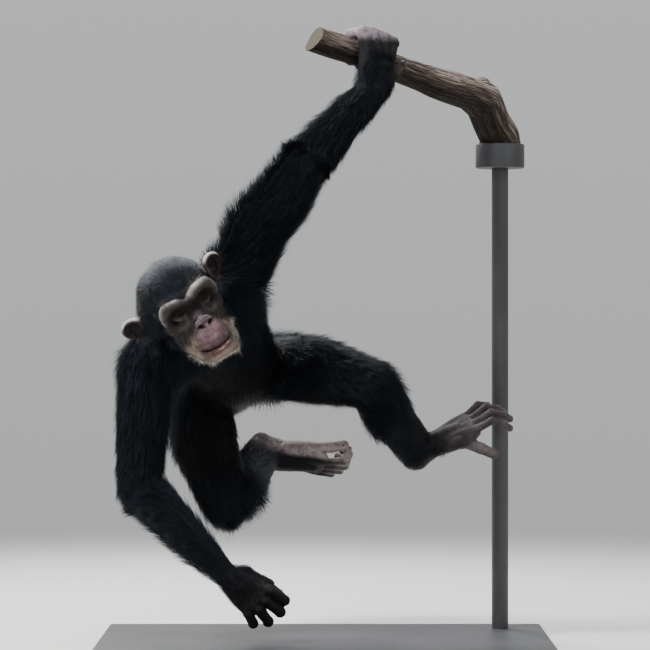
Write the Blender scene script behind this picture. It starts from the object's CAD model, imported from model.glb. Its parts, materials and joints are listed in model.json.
"""A young chimpanzee hanging by its left hand from a cut branch on a display stand, life size.

Metres, +Z up. The animal faces -Y. The origin is on the floor, under the middle of the stand's base plate.
"""
import json
import math

import bmesh
import bpy
import numpy as np
from mathutils import Euler, Matrix, Vector

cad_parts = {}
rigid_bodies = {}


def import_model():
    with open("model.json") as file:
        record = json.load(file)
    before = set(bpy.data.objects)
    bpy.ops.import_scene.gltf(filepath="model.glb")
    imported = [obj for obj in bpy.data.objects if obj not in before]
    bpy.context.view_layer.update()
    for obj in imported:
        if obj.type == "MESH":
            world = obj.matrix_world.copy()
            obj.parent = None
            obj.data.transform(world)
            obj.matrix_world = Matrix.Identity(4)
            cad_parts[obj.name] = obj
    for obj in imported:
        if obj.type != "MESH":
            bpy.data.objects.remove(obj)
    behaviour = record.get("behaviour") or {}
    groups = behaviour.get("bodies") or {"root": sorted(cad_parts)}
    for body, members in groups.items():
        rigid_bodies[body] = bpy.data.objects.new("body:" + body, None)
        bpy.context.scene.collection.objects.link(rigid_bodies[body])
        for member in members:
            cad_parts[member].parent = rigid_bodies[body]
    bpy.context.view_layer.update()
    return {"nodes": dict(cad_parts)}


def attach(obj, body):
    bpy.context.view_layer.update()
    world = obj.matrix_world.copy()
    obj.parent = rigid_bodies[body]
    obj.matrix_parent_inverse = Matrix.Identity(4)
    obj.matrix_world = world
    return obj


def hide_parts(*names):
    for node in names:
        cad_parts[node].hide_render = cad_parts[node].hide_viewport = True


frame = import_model()

# Camera, floor and light: a level camera in front of the animal, as the photograph was taken. The floor is a pale
# disc that fades into an even pale studio, and large soft lights stand at the upper left, the right and behind.
CAMERA_HEIGHT = 0.60125
CAMERA_DISTANCE = 5.0
camera = bpy.data.objects.new("camera", bpy.data.cameras.new("camera"))
bpy.context.scene.collection.objects.link(camera)
camera.location = (0, -CAMERA_DISTANCE, CAMERA_HEIGHT)
camera.rotation_euler = (math.radians(90), 0, 0)
camera.data.sensor_width = 36
camera.data.lens = 18 / (CAMERA_HEIGHT / CAMERA_DISTANCE)
bpy.context.scene.camera = camera


def node_material(name):
    """A material with a Principled shader, and a short way to add and join nodes in it."""
    made = bpy.data.materials.new(name)
    made.use_nodes = True
    tree = made.node_tree
    shader = tree.nodes["Principled BSDF"]

    def add(kind, settings=None, **inputs):
        node = tree.nodes.new(kind)
        for key, value in (settings or {}).items():
            setattr(node, key, value)
        for key, value in inputs.items():
            socket = node.inputs[key.replace("_", " ")]
            if isinstance(value, bpy.types.NodeSocket):
                tree.links.new(value, socket)
            else:
                socket.default_value = value
        return node

    return made, tree, shader, add


def ramp(node, stops):
    """Sets the stops of a colour ramp, each a place and a colour."""
    points = node.color_ramp.elements
    while len(points) < len(stops):
        points.new(0.5)
    for point, (place, colour) in zip(points, stops):
        point.position = place
        point.color = (*colour, 1)


floor_finish, tree, shader, add = node_material("studio_floor")
shader.inputs["Base Color"].default_value = (0.68, 0.67, 0.65, 1)
shader.inputs["Roughness"].default_value = 0.9
coordinates = add("ShaderNodeTexCoord")
distance = add("ShaderNodeVectorMath", {"operation": "LENGTH"}, Vector=coordinates.outputs["Object"])
fade = add("ShaderNodeMapRange", None, Value=distance.outputs["Value"], From_Min=0.9, From_Max=3.2)
fade.interpolation_type = "SMOOTHERSTEP"
clear = add("ShaderNodeBsdfTransparent")
blend = tree.nodes.new("ShaderNodeMixShader")
tree.links.new(fade.outputs["Result"], blend.inputs[0])
tree.links.new(shader.outputs[0], blend.inputs[1])
tree.links.new(clear.outputs[0], blend.inputs[2])
tree.links.new(blend.outputs[0], tree.nodes["Material Output"].inputs["Surface"])
bpy.ops.mesh.primitive_circle_add(vertices=96, radius=3.4, fill_type="NGON", location=(0, 0, 0))
floor = bpy.context.object
floor.name = "studio_floor"
floor.data.materials.append(floor_finish)

studio = bpy.data.worlds.new("studio")
bpy.context.scene.world = studio
studio.use_nodes = True
studio.node_tree.nodes["Background"].inputs["Color"].default_value = (0.86, 0.87, 0.88, 1)
sky_way = studio.node_tree.nodes.new("ShaderNodeTexCoord")
sky_height = studio.node_tree.nodes.new("ShaderNodeSeparateXYZ")
sky_light = studio.node_tree.nodes.new("ShaderNodeMapRange")
for node_input, value in (("From Min", -1.0), ("From Max", 1.0), ("To Min", 0.10), ("To Max", 1.12)):
    sky_light.inputs[node_input].default_value = value
studio.node_tree.links.new(sky_way.outputs["Generated"], sky_height.inputs[0])
studio.node_tree.links.new(sky_height.outputs["Z"], sky_light.inputs["Value"])
studio.node_tree.links.new(sky_light.outputs["Result"], studio.node_tree.nodes["Background"].inputs["Strength"])
SOFT_LIGHTS = (
    ("upper_left_light", (-2.2, -1.7, 3.5), 0.8, 250),
    ("right_light", (3.0, -2.6, 1.8), 2.4, 15),
    ("back_light", (-1.4, 2.6, 3.4), 1.6, 210),
)
for name, place, width, power in SOFT_LIGHTS:
    lamp = bpy.data.objects.new(name, bpy.data.lights.new(name, "AREA"))
    bpy.context.scene.collection.objects.link(lamp)
    lamp.data.size = width
    lamp.data.energy = power
    lamp.location = place
    lamp.rotation_euler = (Vector((0, 0, 0.6)) - Vector(place)).to_track_quat("-Z", "Y").to_euler()

# Display stand: a steel plate, one steel rod and a turned cup, all with a dark satin powder coat. The rod is screwed
# into the plate from below, and the cup holds the lower end of the branch.
stand_finish, tree, shader, add = node_material("powder_coat")
coordinates = add("ShaderNodeTexCoord")
grain = add("ShaderNodeTexNoise", None, Vector=coordinates.outputs["Object"], Scale=900.0, Detail=3.0)
cloud = add("ShaderNodeTexNoise", None, Vector=coordinates.outputs["Object"], Scale=9.0, Detail=4.0)
tint = add("ShaderNodeValToRGB", None, Fac=cloud.outputs["Fac"])
ramp(tint, ((0.3, (0.030, 0.031, 0.034)), (0.7, (0.048, 0.049, 0.052))))
tree.links.new(tint.outputs["Color"], shader.inputs["Base Color"])
rough = add("ShaderNodeMapRange", None, Value=cloud.outputs["Fac"], To_Min=0.38, To_Max=0.52)
tree.links.new(rough.outputs["Result"], shader.inputs["Roughness"])
dimple = add("ShaderNodeBump", None, Height=grain.outputs["Fac"], Strength=0.18, Distance=0.0004)
tree.links.new(dimple.outputs["Normal"], shader.inputs["Normal"])
for name in ("stand_base", "stand_post", "stand_cup"):
    node = frame["nodes"][name]
    node.data.materials.clear()
    node.data.materials.append(stand_finish)
CUP_PLACE = Vector((0.337, 0.205, 0.915))
CUP_R, CUP_BORE, CUP_LOW, CUP_HIGH, CUP_SIDES = 0.047, 0.0413, -0.012, 0.034, 96
CUP_PROFILE = ((0, CUP_LOW), (CUP_R - 0.0022, CUP_LOW), (CUP_R - 0.0007, CUP_LOW + 0.0006), (CUP_R, CUP_LOW + 0.0022),
               (CUP_R, CUP_HIGH - 0.0022), (CUP_R - 0.0007, CUP_HIGH - 0.0006), (CUP_R - 0.0022, CUP_HIGH),
               (CUP_BORE + 0.0010, CUP_HIGH), (CUP_BORE, CUP_HIGH - 0.0010), (CUP_BORE, 0), (0, 0))
bm = bmesh.new()
outline = [bm.verts.new(CUP_PLACE + Vector((r, 0, z))) for r, z in CUP_PROFILE]
edges = [bm.edges.new(pair) for pair in zip(outline, outline[1:])]
bmesh.ops.spin(bm, geom=outline + edges, cent=CUP_PLACE, axis=(0, 0, 1), angle=2 * math.pi, steps=CUP_SIDES,
               use_merge=True)
bmesh.ops.remove_doubles(bm, verts=bm.verts, dist=0.00001)
bmesh.ops.recalc_face_normals(bm, faces=bm.faces)
cup_mesh = bpy.data.meshes.new("turned_cup")
bm.to_mesh(cup_mesh)
bm.free()
cup = bpy.data.objects.new("turned_cup", cup_mesh)
bpy.context.scene.collection.objects.link(cup)
cup_mesh.materials.append(stand_finish)
cup_mesh.shade_smooth()
cup_mesh.set_sharp_from_angle(angle=math.radians(35))
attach(cup, "root")
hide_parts("stand_cup")

# Perch: a weathered length of branch, its bark gone, sawn off at both ends. The wood is grey and cracked along the
# grain, and its thick lower end stands in the cup.
HAND_ON_BRANCH = Vector((0.079, 0.018, 1.098))
BRANCH_WAY = Vector((0.83, 0.50, -0.24)).normalized()
BRANCH_TOP = (Vector((0, 0, 1)) - BRANCH_WAY * BRANCH_WAY.z).normalized()
BRANCH_BACK = BRANCH_WAY.cross(-BRANCH_TOP)
GAP = 0.0003


def around(along_branch, angle, distance):
    """A point beside the branch: the angle runs from its top towards the back."""
    a = math.radians(angle)
    return (HAND_ON_BRANCH + along_branch * BRANCH_WAY
            + distance * (math.cos(a) * BRANCH_TOP + math.sin(a) * BRANCH_BACK))


BRANCH_LINE = (
    (around(-0.118, 0, 0), 0.0255), (around(-0.060, 0, 0), 0.0250), (around(0, 0, 0), 0.0245),
    (around(0.060, 0, 0), 0.0250), (around(0.150, 0, -0.004), 0.0290), (Vector((0.276, 0.140, 1.041)), 0.0335),
    (Vector((0.304, 0.168, 1.024)), 0.0375), (Vector((0.319, 0.185, 0.990)), 0.0365),
    (CUP_PLACE + Vector((0, 0, 0.047)), 0.0390), (CUP_PLACE + Vector((0, 0, 0.030)), 0.041 - GAP),
    (CUP_PLACE + Vector((0, 0, GAP)), 0.041 - GAP))


def smooth_line(line, count):
    """Points at even steps along a line through the given points, with the radius between them."""
    points = np.array([[*point, radius] for point, radius in line])
    steps = np.linalg.norm(np.diff(points[:, :3], axis=0), axis=1)
    reach = np.concatenate([[0], np.cumsum(steps)])
    places = np.linspace(0, reach[-1], count)
    even = np.stack([np.interp(places, reach, points[:, i]) for i in range(4)], axis=1)
    for turn in range(6):
        even[2:-2] = (even[1:-3] + 2 * even[2:-2] + even[3:-1]) / 4
    return even, places


def waves(seed, count, low, high):
    """A few sine waves with random pace and phase, for gentle unevenness that is the same on each run."""
    chance = np.random.default_rng(seed)
    return [(chance.uniform(low, high), chance.uniform(0, 2 * math.pi), chance.uniform(0.4, 1)) for i in range(count)]


BRANCH_RINGS, BRANCH_SIDES = 260, 112
BRANCH_KNOTS = ((Vector((0.299, 0.158, 1.062)), 0.0130, 0.0110), (Vector((0.314, 0.176, 1.050)), 0.0220, 0.0060),
                (Vector((0.205, 0.075, 1.040)), 0.0120, -0.0022),
                (Vector((0.150, 0.030, 1.088)), 0.0110, 0.0016), (Vector((0.318, 0.170, 1.000)), 0.0100, 0.0020),
                (Vector((0.020, -0.040, 1.112)), 0.0100, -0.0018))
SAW_SLANT = 0.30
line, reach = smooth_line(BRANCH_LINE, BRANCH_RINGS)
turns = np.linspace(0, 2 * math.pi, BRANCH_SIDES, endpoint=False)
side = np.array(BRANCH_TOP)
rings = []
for i in range(BRANCH_RINGS):
    way = line[min(i + 1, BRANCH_RINGS - 1), :3] - line[max(i - 1, 0), :3]
    way /= np.linalg.norm(way)
    side = side - way * side.dot(way)
    side /= np.linalg.norm(side)
    other = np.cross(way, side)
    in_cup = 1 if line[i, 2] < CUP_PLACE.z + 0.040 else 0
    grooves = sum(w * np.sin(round(pace) * turns + phase + 3 * math.sin(9 * reach[i] + phase))
                  for pace, phase, w in waves(5, 12, 5, 30))
    lumps = sum(w * np.cos(round(pace / 12) * turns + phase) * math.sin(pace * reach[i] + phase)
                for pace, phase, w in waves(8, 7, 14, 60))
    uneven = (0.00034 * grooves + 0.00085 * lumps - 0.0016) * (1 - in_cup)
    ring = line[i, :3] + (line[i, 3] + uneven)[:, None] * (
        np.cos(turns)[:, None] * side + np.sin(turns)[:, None] * other)
    for knot, width, height in BRANCH_KNOTS:
        outward = ring - line[i, :3]
        outward /= np.linalg.norm(outward, axis=1, keepdims=True)
        ring += height * np.exp(-(np.linalg.norm(ring - np.array(knot), axis=1) / width) ** 4)[:, None] * outward
    cut_back = np.exp(-reach[i] / 0.02) * SAW_SLANT
    ring += cut_back * ((ring - line[i, :3]) @ side)[:, None] * np.array(BRANCH_WAY)
    rings.append(ring)
bm = bmesh.new()
grid = [[bm.verts.new(p) for p in ring] for ring in rings]
grain_map = bm.loops.layers.uv.new("grain")
for i in range(BRANCH_RINGS - 1):
    for j in range(BRANCH_SIDES):
        k = (j + 1) % BRANCH_SIDES
        face = bm.faces.new((grid[i][j], grid[i][k], grid[i + 1][k], grid[i + 1][j]))
        for loop, (a, b) in zip(face.loops, ((i, j), (i, j + 1), (i + 1, j + 1), (i + 1, j))):
            loop[grain_map].uv = (b / BRANCH_SIDES, reach[a])
SAWN = 1
for ring, order, pull in ((grid[0], 1, 1), (grid[-1], -1, 1)):
    centre = sum((v.co for v in ring), Vector()) / len(ring)
    hub = bm.verts.new(centre)
    for j in range(BRANCH_SIDES):
        a, b = ring[j], ring[(j + 1) % BRANCH_SIDES]
        face = bm.faces.new((hub, b, a) if order > 0 else (hub, a, b))
        face.material_index = SAWN
        for loop in face.loops:
            offset = loop.vert.co - centre
            loop[grain_map].uv = (offset.dot(BRANCH_BACK), offset.dot(BRANCH_TOP))
bmesh.ops.recalc_face_normals(bm, faces=bm.faces)
mesh = bpy.data.meshes.new("perch")
bm.to_mesh(mesh)
bm.free()
perch = bpy.data.objects.new("perch", mesh)
bpy.context.scene.collection.objects.link(perch)
mesh.shade_smooth()
mesh.set_sharp_from_angle(angle=math.radians(50))

wood, tree, shader, add = node_material("weathered_wood")
grain_uv = add("ShaderNodeUVMap", {"uv_map": "grain"})
wrapped = add("ShaderNodeSeparateXYZ", None, Vector=grain_uv.outputs["UV"])
turn = add("ShaderNodeMath", {"operation": "MULTIPLY"})
tree.links.new(wrapped.outputs["X"], turn.inputs[0])
turn.inputs[1].default_value = 2 * math.pi
ring_x = add("ShaderNodeMath", {"operation": "COSINE"})
ring_y = add("ShaderNodeMath", {"operation": "SINE"})
tree.links.new(turn.outputs[0], ring_x.inputs[0])
tree.links.new(turn.outputs[0], ring_y.inputs[0])
wood_place = add("ShaderNodeCombineXYZ", None, X=ring_x.outputs[0], Y=ring_y.outputs[0], Z=wrapped.outputs["Y"])
stretch = add("ShaderNodeMapping", None, Vector=wood_place.outputs["Vector"], Scale=(3.2, 3.2, 7.0))
fibre = add("ShaderNodeTexNoise", None, Vector=stretch.outputs["Vector"], Scale=4.0, Detail=9.0, Roughness=0.66)
blotch = add("ShaderNodeTexNoise", None, Vector=stretch.outputs["Vector"], Scale=0.7, Detail=4.0)
crack_bend = add("ShaderNodeTexNoise", None, Vector=wood_place.outputs["Vector"], Scale=3.0, Detail=3.0)
crack_shift = add("ShaderNodeVectorMath", {"operation": "MULTIPLY_ADD"})
tree.links.new(crack_bend.outputs["Color"], crack_shift.inputs[0])
crack_shift.inputs[1].default_value = (0.35, 0.35, 0.12)
tree.links.new(wood_place.outputs["Vector"], crack_shift.inputs[2])
crack_place = add("ShaderNodeMapping", None, Vector=crack_shift.outputs["Vector"], Scale=(2.4, 2.4, 4.2))
crack = add("ShaderNodeTexVoronoi", {"feature": "DISTANCE_TO_EDGE"}, Vector=crack_place.outputs["Vector"], Scale=2.2)
crack_line = add("ShaderNodeMapRange", None, Value=crack.outputs["Distance"], From_Min=0.010, From_Max=0.065)
tone = add("ShaderNodeValToRGB", None, Fac=fibre.outputs["Fac"])
ramp(tone, ((0.32, (0.014, 0.010, 0.008)), (0.44, (0.105, 0.080, 0.066)), (0.55, (0.290, 0.245, 0.215)),
            (0.68, (0.560, 0.510, 0.470))))
patches = add("ShaderNodeMapRange", None, Value=blotch.outputs["Fac"], From_Min=0.35, From_Max=0.62)
grey = add("ShaderNodeMix", {"data_type": "RGBA", "blend_type": "MULTIPLY"})
tree.links.new(patches.outputs["Result"], grey.inputs[0])
tree.links.new(tone.outputs["Color"], grey.inputs[6])
grey.inputs[7].default_value = (0.60, 0.53, 0.50, 1)
weather = add("ShaderNodeMapRange", None, Value=ring_x.outputs[0], From_Min=-0.55, From_Max=0.65,
              To_Min=0.12, To_Max=1.30)
weathered = add("ShaderNodeVectorMath", {"operation": "SCALE"}, Vector=grey.outputs[2])
tree.links.new(weather.outputs["Result"], weathered.inputs["Scale"])
split = add("ShaderNodeMix", {"data_type": "RGBA"})
tree.links.new(crack_line.outputs["Result"], split.inputs[0])
split.inputs[6].default_value = (0.035, 0.024, 0.018, 1)
tree.links.new(weathered.outputs["Vector"], split.inputs[7])
tree.links.new(split.outputs[2], shader.inputs["Base Color"])
shader.inputs["Roughness"].default_value = 0.82
shader.inputs["Specular IOR Level"].default_value = 0.20
relief = add("ShaderNodeMath", {"operation": "MULTIPLY"})
tree.links.new(fibre.outputs["Fac"], relief.inputs[0])
tree.links.new(crack_line.outputs["Result"], relief.inputs[1])
bump = add("ShaderNodeBump", None, Height=relief.outputs[0], Strength=1.0, Distance=0.0030)
tree.links.new(bump.outputs["Normal"], shader.inputs["Normal"])

sawn_wood, tree, shader, add = node_material("sawn_wood")
coordinates = add("ShaderNodeTexCoord")
end_map = add("ShaderNodeMapping", {"vector_type": "TEXTURE"}, Vector=coordinates.outputs["Object"])
end_map.inputs["Location"].default_value = line[0, :3]
end_map.inputs["Rotation"].default_value = BRANCH_WAY.to_track_quat("Z", "Y").to_euler()
year_rings = add("ShaderNodeTexWave", {"wave_type": "RINGS", "rings_direction": "Z"}, Vector=end_map.outputs["Vector"],
                 Scale=120.0, Distortion=3.0, Detail=3.0, Detail_Scale=2.0)
tone = add("ShaderNodeValToRGB", None, Fac=year_rings.outputs["Fac"])
ramp(tone, ((0.1, (0.012, 0.009, 0.006)), (0.5, (0.055, 0.043, 0.028)), (0.9, (0.130, 0.108, 0.074))))
tree.links.new(tone.outputs["Color"], shader.inputs["Base Color"])
shader.inputs["Roughness"].default_value = 0.85
shader.inputs["Specular IOR Level"].default_value = 0.20
bump = add("ShaderNodeBump", None, Height=year_rings.outputs["Fac"], Strength=0.4, Distance=0.0006)
tree.links.new(bump.outputs["Normal"], shader.inputs["Normal"])
mesh.materials.append(wood)
mesh.materials.append(sawn_wood)
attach(perch, "root")
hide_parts("perch_branch")

# Trunk and limbs: the flesh under the coat, from the bones' places and the thickness of each limb. Rounded masses are
# melted together and smoothed, a coat's depth inside the solids.
UPPER_ARM, FOREARM, THIGH, SHIN = 0.222, 0.231, 0.236, 0.179


def direction(x, y, z):
    return Vector((x, y, z)).normalized()


SHOULDER_LEFT = Vector((-0.147, -0.020, 0.712))
ELBOW_LEFT = SHOULDER_LEFT + UPPER_ARM * direction(0.48, -0.44, 0.76)
WRIST_LEFT = ELBOW_LEFT + FOREARM * direction(0.57, 0.40, 0.71)
SHOULDER_RIGHT = Vector((-0.327, -0.036, 0.531))
ELBOW_RIGHT = SHOULDER_RIGHT + UPPER_ARM * direction(-0.06, -0.09, -0.99)
WRIST_RIGHT = ELBOW_RIGHT + FOREARM * direction(0.69, -0.17, -0.70)
PELVIS = Vector((-0.171, 0.190, 0.505))
HIP_LEFT = Vector((-0.102, 0.180, 0.524))
KNEE_LEFT = HIP_LEFT + THIGH * direction(0.81, -0.58, -0.13)
ANKLE_LEFT = KNEE_LEFT + SHIN * direction(0.55, 0.46, -0.70)
HIP_RIGHT = Vector((-0.230, 0.180, 0.468))
KNEE_RIGHT = HIP_RIGHT + THIGH * direction(0.17, -0.53, -0.83)
ANKLE_RIGHT = KNEE_RIGHT + SHIN * direction(0.49, 0.74, 0.46)
NECK_BASE = Vector((-0.222, -0.004, 0.645))
CHEST = Vector((-0.207, 0.050, 0.592))
BROW_CENTRE = Vector((-0.2360, -0.192, 0.6330))
HEAD_TURN = (Euler((0, math.radians(-35), 0)).to_matrix()
             @ Euler((0, 0, math.radians(11))).to_matrix()
             @ Euler((math.radians(20), 0, 0)).to_matrix())


def head_point(x, y, z):
    """A point of the head: x to the animal's left, y backwards, z up, from midway between the eyes."""
    return BROW_CENTRE + HEAD_TURN @ Vector((x, y, z))


def frame_of(forward, up):
    """Matrix whose columns are side, forward and up, made square to each other."""
    forward = forward.normalized()
    up = (up - forward * up.dot(forward)).normalized()
    side = forward.cross(up)
    return Matrix((side, forward, up)).transposed()


def unit_ball(subdivisions):
    bm = bmesh.new()
    bmesh.ops.create_icosphere(bm, subdivisions=subdivisions, radius=1)
    points = np.array([v.co for v in bm.verts])
    bm.free()
    return points


BALLS = {steps: unit_ball(steps) for steps in (2, 3, 4)}


def ball(centre, radius, turn=None):
    """Surface points of a ball, or of an ellipsoid when radius has three values."""
    radii = np.array(radius) if hasattr(radius, "__len__") else np.full(3, radius)
    steps = 4 if radii.max() > 0.030 else 3 if radii.max() > 0.007 else 2
    points = BALLS[steps] * radii
    if turn is not None:
        points = points @ np.array(turn).T
    return points + np.array(centre)


def hull(*balls):
    """A closed mesh stretched over several balls."""
    bm = bmesh.new()
    for points in balls:
        for p in points:
            bm.verts.new(p)
    made = bmesh.ops.convex_hull(bm, input=bm.verts)
    spare = {g for g in made["geom_interior"] + made["geom_unused"] if isinstance(g, bmesh.types.BMVert)}
    bmesh.ops.delete(bm, geom=list(spare), context="VERTS")
    return bm


def limb(*stations):
    """Hulls from station to station, each a point and a radius."""
    balls = [ball(*s) for s in stations]
    return [hull(a, b) for a, b in zip(balls, balls[1:])]


def new_object(name, bm):
    mesh = bpy.data.meshes.new(name)
    bm.to_mesh(mesh)
    bm.free()
    made = bpy.data.objects.new(name, mesh)
    bpy.context.scene.collection.objects.link(made)
    return made


def evaluated(obj):
    """The object's mesh with its modifiers applied."""
    bpy.context.view_layer.update()
    graph = bpy.context.evaluated_depsgraph_get()
    mesh = bpy.data.meshes.new_from_object(obj.evaluated_get(graph))
    old = obj.data
    obj.modifiers.clear()
    obj.data = mesh
    bpy.data.meshes.remove(old)
    return obj


def fused(name, shells, voxel, rounds, triangles):
    """Shells melted into one skin, with the creases between them smoothed away, at most this many triangles."""
    whole = bmesh.new()
    for bm in shells:
        piece = bpy.data.meshes.new("shell")
        bm.to_mesh(piece)
        bm.free()
        whole.from_mesh(piece)
        bpy.data.meshes.remove(piece)
    bmesh.ops.recalc_face_normals(whole, faces=whole.faces)
    obj = new_object(name, whole)
    remesh = obj.modifiers.new("melt", "REMESH")
    remesh.mode = "VOXEL"
    remesh.voxel_size = voxel
    soften = obj.modifiers.new("soften", "SMOOTH")
    soften.factor = 0.5
    soften.iterations = rounds
    evaluated(obj)
    full = 2 * len(obj.data.polygons)
    if full > triangles:
        thin = obj.modifiers.new("thin", "DECIMATE")
        thin.ratio = triangles / full
        evaluated(obj)
    return obj


def boolean(obj, others, operation):
    """Joins or cuts obj with a list of closed objects, which are then removed."""
    tools = bpy.data.collections.new("tools")
    bpy.context.scene.collection.children.link(tools)
    for other in others:
        for home in list(other.users_collection):
            home.objects.unlink(other)
        tools.objects.link(other)
    act = obj.modifiers.new(operation.lower(), "BOOLEAN")
    act.operand_type = "COLLECTION"
    act.collection = tools
    act.operation = operation
    act.solver = "MANIFOLD"
    evaluated(obj)
    for other in list(tools.objects):
        bpy.data.objects.remove(other)
    bpy.data.collections.remove(tools)
    return obj


COAT = 0.006
TRUNK = frame_of(CHEST - PELVIS, (SHOULDER_RIGHT - SHOULDER_LEFT).cross(CHEST - PELVIS))
across, along, dorsal = (TRUNK.col[i].normalized() for i in range(3))
BELLY = CHEST.lerp(PELVIS, 0.56) - 0.014 * dorsal
SKULL_BASE = head_point(0, 0.092, -0.020)
DELTOID = SHOULDER_LEFT.lerp(ELBOW_LEFT, 0.32) + Vector((-0.010, 0.008, 0.006))
SHOULDER_R, HIP_R = 0.052 - COAT, 0.064 - COAT
body_shells = [
    hull(ball(CHEST, (0.094, 0.086, 0.074), TRUNK), ball(BELLY, (0.084, 0.074, 0.068), TRUNK)),
    hull(ball(BELLY, (0.084, 0.074, 0.068), TRUNK), ball(PELVIS, (0.074, 0.058, 0.058), TRUNK)),
    hull(ball(NECK_BASE, 0.050), ball(CHEST, 0.072)),
    hull(ball(SHOULDER_LEFT, SHOULDER_R), ball(NECK_BASE, 0.046)),
    hull(ball(SHOULDER_LEFT, SHOULDER_R), ball(CHEST + 0.030 * dorsal, 0.066)),
    hull(ball(SHOULDER_LEFT.lerp(CHEST, 0.3), 0.044),
         ball(HIP_LEFT.lerp(CHEST, 0.62) + Vector((0.010, 0, 0)), 0.044)),
    hull(ball(SHOULDER_RIGHT, SHOULDER_R), ball(NECK_BASE, 0.046)),
    hull(ball(SHOULDER_RIGHT, SHOULDER_R), ball(CHEST + 0.010 * dorsal, 0.066)),
    hull(ball(HIP_LEFT, HIP_R), ball(PELVIS, 0.056)),
    hull(ball(HIP_RIGHT, HIP_R), ball(PELVIS, 0.056)),
    hull(ball(SKULL_BASE, 0.048), ball(NECK_BASE, 0.052)),
]
body_shells += limb((SHOULDER_LEFT, SHOULDER_R), (DELTOID, 0.048), (SHOULDER_LEFT.lerp(ELBOW_LEFT, 0.65), 0.044),
                    (ELBOW_LEFT, 0.037), (ELBOW_LEFT.lerp(WRIST_LEFT, 0.28), 0.037),
                    (ELBOW_LEFT.lerp(WRIST_LEFT, 0.72), 0.028), (WRIST_LEFT, 0.0225))
body_shells += limb((SHOULDER_RIGHT, SHOULDER_R), (SHOULDER_RIGHT.lerp(ELBOW_RIGHT, 0.42), 0.0445),
                    (ELBOW_RIGHT, 0.036), (ELBOW_RIGHT.lerp(WRIST_RIGHT, 0.28), 0.035),
                    (ELBOW_RIGHT.lerp(WRIST_RIGHT, 0.72), 0.027), (WRIST_RIGHT, 0.0215))
body_shells += limb((HIP_LEFT, HIP_R), (HIP_LEFT.lerp(KNEE_LEFT, 0.42) + Vector((0, 0, 0.006)), 0.058),
                    (KNEE_LEFT, 0.039), (KNEE_LEFT.lerp(ANKLE_LEFT, 0.35), 0.032), (ANKLE_LEFT, 0.0235))
body_shells += limb((HIP_RIGHT + Vector((-0.010, -0.010, 0)), HIP_R),
                    (HIP_RIGHT.lerp(KNEE_RIGHT, 0.42) + Vector((-0.016, 0, 0)), 0.059),
                    (KNEE_RIGHT, 0.039), (KNEE_RIGHT.lerp(ANKLE_RIGHT, 0.35), 0.032), (ANKLE_RIGHT, 0.0235))
HEEL_RIGHT = ANKLE_RIGHT + Vector((-0.022, 0.009, 0.018))
body_shells.append(hull(ball(HEEL_RIGHT, 0.021), ball(KNEE_RIGHT.lerp(ANKLE_RIGHT, 0.45) + Vector((-0.012, 0.004, 0.006)), 0.031),
                        ball(ANKLE_RIGHT, 0.0235)))
HEEL_LEFT = ANKLE_LEFT + Vector((-0.020, 0.010, -0.018))
body_shells.append(hull(ball(HEEL_LEFT, 0.0215), ball(KNEE_LEFT.lerp(ANKLE_LEFT, 0.60), 0.0290), ball(ANKLE_LEFT, 0.0240)))
CALF_LEFT = KNEE_LEFT.lerp(ANKLE_LEFT, 0.38) + Vector((-0.010, 0.003, -0.008))
body_shells.append(hull(ball(KNEE_LEFT.lerp(HIP_LEFT, 0.08) + Vector((-0.004, 0, -0.006)), 0.036), ball(CALF_LEFT, 0.034),
                        ball(HEEL_LEFT.lerp(CALF_LEFT, 0.12), 0.0225)))
CALF_RIGHT = KNEE_RIGHT.lerp(ANKLE_RIGHT, 0.28) + Vector((0.010, -0.004, -0.009))
body_shells.append(hull(ball(KNEE_RIGHT + Vector((0.004, 0, 0)), 0.038), ball(CALF_RIGHT, 0.034),
                        ball(KNEE_RIGHT.lerp(ANKLE_RIGHT, 0.75) + Vector((0.003, 0, -0.003)), 0.0250)))
body_shells.append(hull(ball(WRIST_LEFT + Vector((0.012, 0, -0.002)), 0.0225), ball(WRIST_LEFT + Vector((-0.006, 0, 0)), 0.0225),
                        ball(ELBOW_LEFT.lerp(WRIST_LEFT, 0.70) + Vector((0.006, 0, -0.003)), 0.0270)))
skin = fused("skin", body_shells, 0.0050, 9, 36000)

# Hands: bare, dark, creased skin over long bones. The left one hooks over the branch with its back to the viewer, and
# the right one hangs loose with its fingers curled away.
FINGER = (0.044, 0.034, 0.020)
THUMB = (0.028, 0.020)
FINGER_R = 0.0104
FINGERS = ("index", "middle", "ring", "little")
nails = []
knuckle_lines = []


def digit(points, radius):
    """A finger or toe that tapers a little, with slightly thicker joints and a padded tip."""
    stations = [(points[0], radius)]
    for i, (a, b) in enumerate(zip(points, points[1:])):
        tip = i == len(points) - 2
        stations.append((a.lerp(b, 0.22), radius * (0.90 - 0.04 * i)))
        stations.append((a.lerp(b, 0.78), radius * (0.89 - 0.05 * i)))
        stations.append((b, radius * (0.82 if tip else 0.97 - 0.05 * i)))
    return limb(*stations)


def bent(start, forward, palmward, bones, bends):
    """Joints of a digit whose bones each turn a little further towards the palm or sole."""
    points, angle = [start], 0
    for length, bend in zip(bones, bends):
        angle += math.radians(bend)
        points.append(points[-1] + length * (math.cos(angle) * forward + math.sin(angle) * palmward))
    return points


def nail(points, radius, back):
    """A nail on the back of a digit's tip, a thin curved plate."""
    way = (points[-1] - points[-2]).normalized()
    back = (back - way * back.dot(way)).normalized()
    turn = frame_of(way, back)
    centre = points[-1] - 0.0015 * way + 0.58 * radius * back
    return hull(ball(centre, (0.60 * radius, 0.66 * radius, 0.30 * radius), turn))


def creases_across(points, radius, back):
    """Short folds across the joints of a digit, as places to press in later."""
    for a, b, c in zip(points, points[1:], points[2:]):
        way = (c - a).normalized()
        for step in (-0.0032, 0, 0.0032):
            knuckle_lines.append((b + step * way + 0.6 * radius * back, way, radius))


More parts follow.
